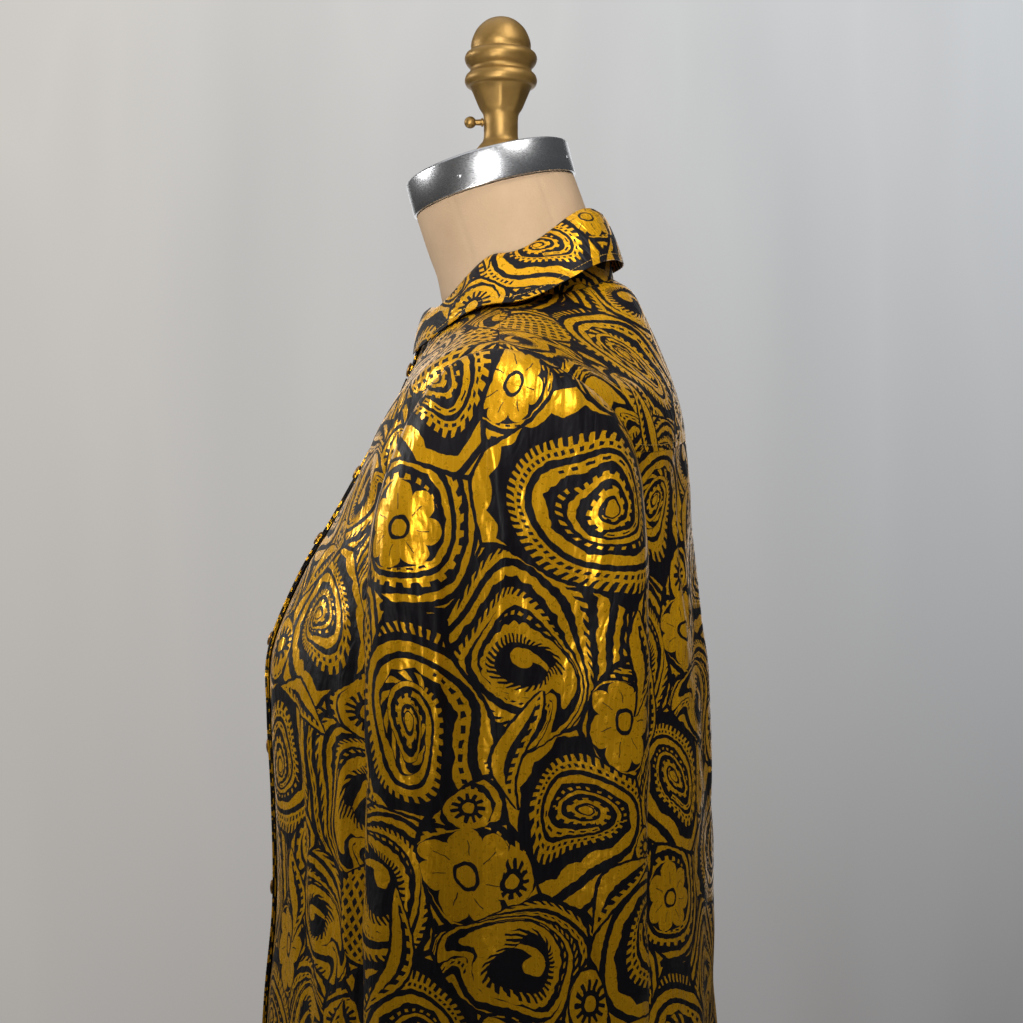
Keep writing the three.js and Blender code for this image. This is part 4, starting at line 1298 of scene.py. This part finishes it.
# The canvas is drawn in below the neck's edge.
CANVAS_TUCK = {"below": 1352, "over": 12, "depth": 1.4}
FINIAL_STOPS = (
    (0, 1452.3),
    (17, 1452.3),
    (17, 1453.5),
    (15.2, 1456),
    (12.8, 1459),
    (12, 1463),
    (12, 1468),
    (12, 1474),
    (12.6, 1478),
    (15, 1482),
    (18, 1489),
    (20.4, 1494.5),
    (21.8, 1496.6),
    (24.2, 1498),
    (25.4, 1501.3),
    (24.4, 1504.8),
    (22.2, 1507),
    (21.6, 1508.4),
    (21.8, 1510.2),
    (24.2, 1513),
    (25.4, 1516.8),
    (24.2, 1520.2),
    (21.4, 1522),
    (21, 1523.6),
    (21, 1527),
    (19.6, 1532),
    (16.4, 1538),
    (11, 1543),
    (5.5, 1545.4),
    (0, 1546),
)


def build_form_body():
    rings = np.linspace(0, FORM_LAST, 150)
    angles = spread(np.zeros_like(rings), np.full_like(rings, 360), 217)
    points, normals = surface(form_point, 1, rings, angles)
    below = CANVAS_TUCK["below"] - points[..., 2]
    tucked = smooth(below, 0, CANVAS_TUCK["over"]) * CANVAS_TUCK["depth"]
    for seam in CANVAS_SEAMS["angles"]:
        turn = (angles - seam + 180) % 360 - 180
        tucked = tucked + CANVAS_SEAMS["depth"] * np.exp(-((turn / CANVAS_SEAMS["width"]) ** 2))
    points = (points - normals * tucked[..., None])[:, :-1]
    rows, columns = points.shape[:2]
    quads = grid_quads(rows, columns + 1)
    index = quads[..., 0] * columns + quads[..., 1] % columns
    faces = index.tolist()
    faces.append(list(range(columns))[::-1])
    faces.append(list(range((rows - 1) * columns, rows * columns)))
    body = link("form_body_canvas", points.reshape(-1, 3), faces)
    finish(body, CANVAS, "canvas", "form_body")


def build_neck_band():
    radius, height = NECK_BAND["radius"], NECK_BAND["height"]
    profile = (
        (0, 0),
        (radius - 1.2, 0),
        (radius - 0.3, 0.3),
        (radius, 1.2),
        (radius, height - 2.2),
        (radius - 0.5, height - 0.9),
        (radius - 1.8, height - 0.1),
        (radius - 4, height + 0.2),
        (radius - 20, height + 0.9),
        (0, height + 1.5),
    )
    seat = Matrix.Translation((0, NECK_BAND["centre_y"] * MM, NECK_BAND["low_z"] * MM))
    seat @= Matrix.Rotation(math.radians(NECK_BAND["lean"]), 4, "X")
    band = turned("neck_band_metal", profile, 128)
    band.data.transform(seat)
    finish(band, BRUSHED, "brushed_metal", "neck_band")
    for i, azimuth in enumerate(RIVET_AZIMUTHS):
        rivet = turned(f"band_rivet_{i + 1}", RIVET_PROFILE, 20)
        outward = Matrix.Rotation(math.radians(azimuth), 4, "Z") @ Matrix.Rotation(math.radians(90), 4, "Y")
        outward.translation = outward @ Vector((0, 0, radius * MM)) + Vector((0, 0, RIVET_HEIGHT * MM))
        rivet.data.transform(seat @ outward)
        finish(rivet, BRUSHED, "brushed_metal")
    finish(turned("neck_boss_metal", BOSS_PROFILE, 48), BRUSHED, "brushed_metal")


def cup_facets(height, angles):
    """The finial's cup is cut to eight soft facets between its stem and its lower ring."""
    amount = 0.75 * smooth(height, 1476, 1484) * (1 - smooth(height, 1492, 1496.5))
    octagon = cos(22.5) / cos(angles % 45 - 22.5)
    return 1 + (octagon - 1) * amount


def build_finial():
    profile = smooth_profile(FINIAL_STOPS, 140)
    profile[0] = FINIAL_STOPS[0]
    profile[-1] = FINIAL_STOPS[-1]
    finial = turned("finial_brass", profile, 72, cup_facets)
    finish(finial, BRASS, "aged_brass", "finial")


def build_thumb_screw():
    """A shank with a collar and a ball on its end, laid down to point at the wearer's front."""
    radius, middle = SCREW_BALL["radius"], SCREW_BALL["middle"]
    ball_start = math.asin(SCREW_SHANK[1][0] / radius)
    ball = [
        (radius * math.sin(turn), middle - radius * math.cos(turn))
        for turn in np.linspace(ball_start, math.pi, SCREW_BALL["steps"])[:-1]
    ]
    screw = turned("thumb_screw_brass", [*SCREW_SHANK, *ball, (0, middle + radius)], 28)
    start_y, height = SCREW_SEAT
    place = Matrix.Translation((0, start_y * MM, height * MM))
    screw.data.transform(place @ Matrix.Rotation(math.radians(90), 4, "X"))
    finish(screw, BRASS, "aged_brass", "thumb_screw", body="thumb_screw")


def build_stand():
    top = FORM_RINGS["sideZ"][-1] - SEAM
    profile = [*POLE_FOOT, *((radius, top - below) for radius, below in POLE_FLANGE)]
    finish(turned("pole_metal", profile, 48), BRUSHED, "brushed_metal", "stand_pole")
    finish(turned("base_metal", BASE_PROFILE, 96), PAINT, "painted_steel", "stand_base")


# ---------------------------------------------------------------- stage, lights and camera

CAMERA_DISTANCE = 1.195
CAMERA_Y = 0.0074
CAMERA_HEIGHT = 1.20
FOCAL_PIXELS = 1706
PICTURE = 1023
FLOOR_RADIUS = 2.2
WARM = (1, 0.97, 0.92)
DAYLIGHT = (1, 0.98, 0.95)
# Each light's azimuth, distance, height and height of aim, width and height of its window, power,
# spread and colour. Azimuth 0 is the camera's side and 90 the wearer's back.
LIGHTS = {
    "room": (0, 0.01, 2.9, 0, 3, 3, 38, 150),
    "window": (-4, 1.9, 1.82, 1.46, 0.35, 0.6, 1.0, 24, DAYLIGHT),
    "low": (-14, 1.5, 0.8, 1.56, 0.3, 0.3, 0.3, 16, WARM),
    "side": (40, 0.9, 2.45, 1.22, 0.6, 0.6, 1.45, 42, WARM),
    "front": (-102, 1.4, 1.75, 1.12, 0.5, 0.5, 1.2, 36, DAYLIGHT),
    "top": (-110, 0.25, 2.35, 1.15, 1.3, 1.3, 2.6, 120),
    "far": (180, 1.7, 1.3, 1.1, 1.6, 1.6, 5, 120),
}
# The room's light falls on these alone.
LIT_BY_ROOM = ("floor", "pole_metal", "base_metal")
# The backdrop's greys carry painted shade: darker low down and to the right, and a darker grey painted
# along its folds.
BACKDROP = {
    "left_low": (0.39, 0.37, 0.35, 1),
    "left_high": (0.65, 0.625, 0.59, 1),
    "right_low": (0.19, 0.185, 0.185, 1),
    "right_high": (0.62, 0.64, 0.66, 1),
    "fold": (0.34, 0.34, 0.35, 1),
}


def build_stage():
    bpy.ops.mesh.primitive_circle_add(vertices=96, radius=FLOOR_RADIUS, fill_type="NGON")
    ground_disc = bpy.context.object
    ground_disc.name = "floor"
    material, _ = plain("floor", (0.85, 0.85, 0.84), 0.9)
    ground_disc.data.materials.append(material)


def area_light(name, azimuth, distance, height, aim, width, tall, power, spread, colour=(1, 1, 1)):
    """A window of light, turned to a height on the part's middle line."""
    light = bpy.data.lights.new(name, "AREA")
    light.shape = "RECTANGLE"
    light.size = width
    light.size_y = tall
    light.energy = power
    light.spread = math.radians(spread)
    light.color = colour
    holder = bpy.data.objects.new(name, light)
    turn = math.radians(azimuth)
    holder.location = (distance * math.cos(turn), distance * math.sin(turn), height)
    holder.rotation_euler = (Vector((0, 0, aim)) - holder.location).to_track_quat("-Z", "Y").to_euler()
    bpy.context.scene.collection.objects.link(holder)
    return holder


def build_lights():
    lights = {name: area_light(name, *light) for name, light in LIGHTS.items()}
    room_lit = bpy.data.collections.new("lit_by_room")
    for name in LIT_BY_ROOM:
        room_lit.objects.link(bpy.data.objects[name])
    lights["room"].light_linking.receiver_collection = room_lit
    bpy.context.scene.view_settings.view_transform = "Standard"


def build_backdrop():
    """A grey folded backdrop with painted shade, darker low down, to the right and along its folds, which
    gives the room a little of its light.
    """
    world = bpy.data.worlds.new("studio")
    bpy.context.scene.world = world
    world.use_nodes = True
    Field.tree = world.node_tree
    place = Field(add_node("ShaderNodeTexCoord").outputs["Generated"])
    _, side, up = parts(place)
    # Painted shade: the backdrop grows darker low down and to the right, and darker still along its folds.
    fold_shade = noise(vector_node("MULTIPLY", place, (9.0, 9.0, 1.2)), 1.0, 2.0, "3D")
    height = ramp(up, -0.32, 0.30)
    left = blend_colour(BACKDROP["left_low"], BACKDROP["left_high"], height)
    right = blend_colour(BACKDROP["right_low"], BACKDROP["right_high"], height)
    grey = blend_colour(left, right, ramp(side, -0.28, 0.28))
    grey = blend_colour(grey, BACKDROP["fold"], size(fold_shade - 0.5) * 0.9)
    seen = Field(add_node("ShaderNodeLightPath").outputs["Is Camera Ray"])
    background = world.node_tree.nodes["Background"]
    world.node_tree.links.new(grey.socket, background.inputs["Color"])
    world.node_tree.links.new((seen * 0.85 + 0.15).socket, background.inputs["Strength"])


def build_camera():
    camera = bpy.data.cameras.new("camera")
    camera.sensor_width = 36
    camera.lens = FOCAL_PIXELS / PICTURE * camera.sensor_width
    holder = bpy.data.objects.new("camera", camera)
    holder.location = (CAMERA_DISTANCE, CAMERA_Y, CAMERA_HEIGHT)
    holder.rotation_euler = (math.radians(90), 0, math.radians(90))
    bpy.context.scene.collection.objects.link(holder)
    bpy.context.scene.camera = holder


build_fronts()
build_placket()
build_back()
build_sleeves()
build_cuffs()
build_collar_stand()
build_collar_fall()
build_buttons()
build_form_body()
build_neck_band()
build_finial()
build_thumb_screw()
build_stand()
build_stage()
build_lights()
build_backdrop()
build_camera()
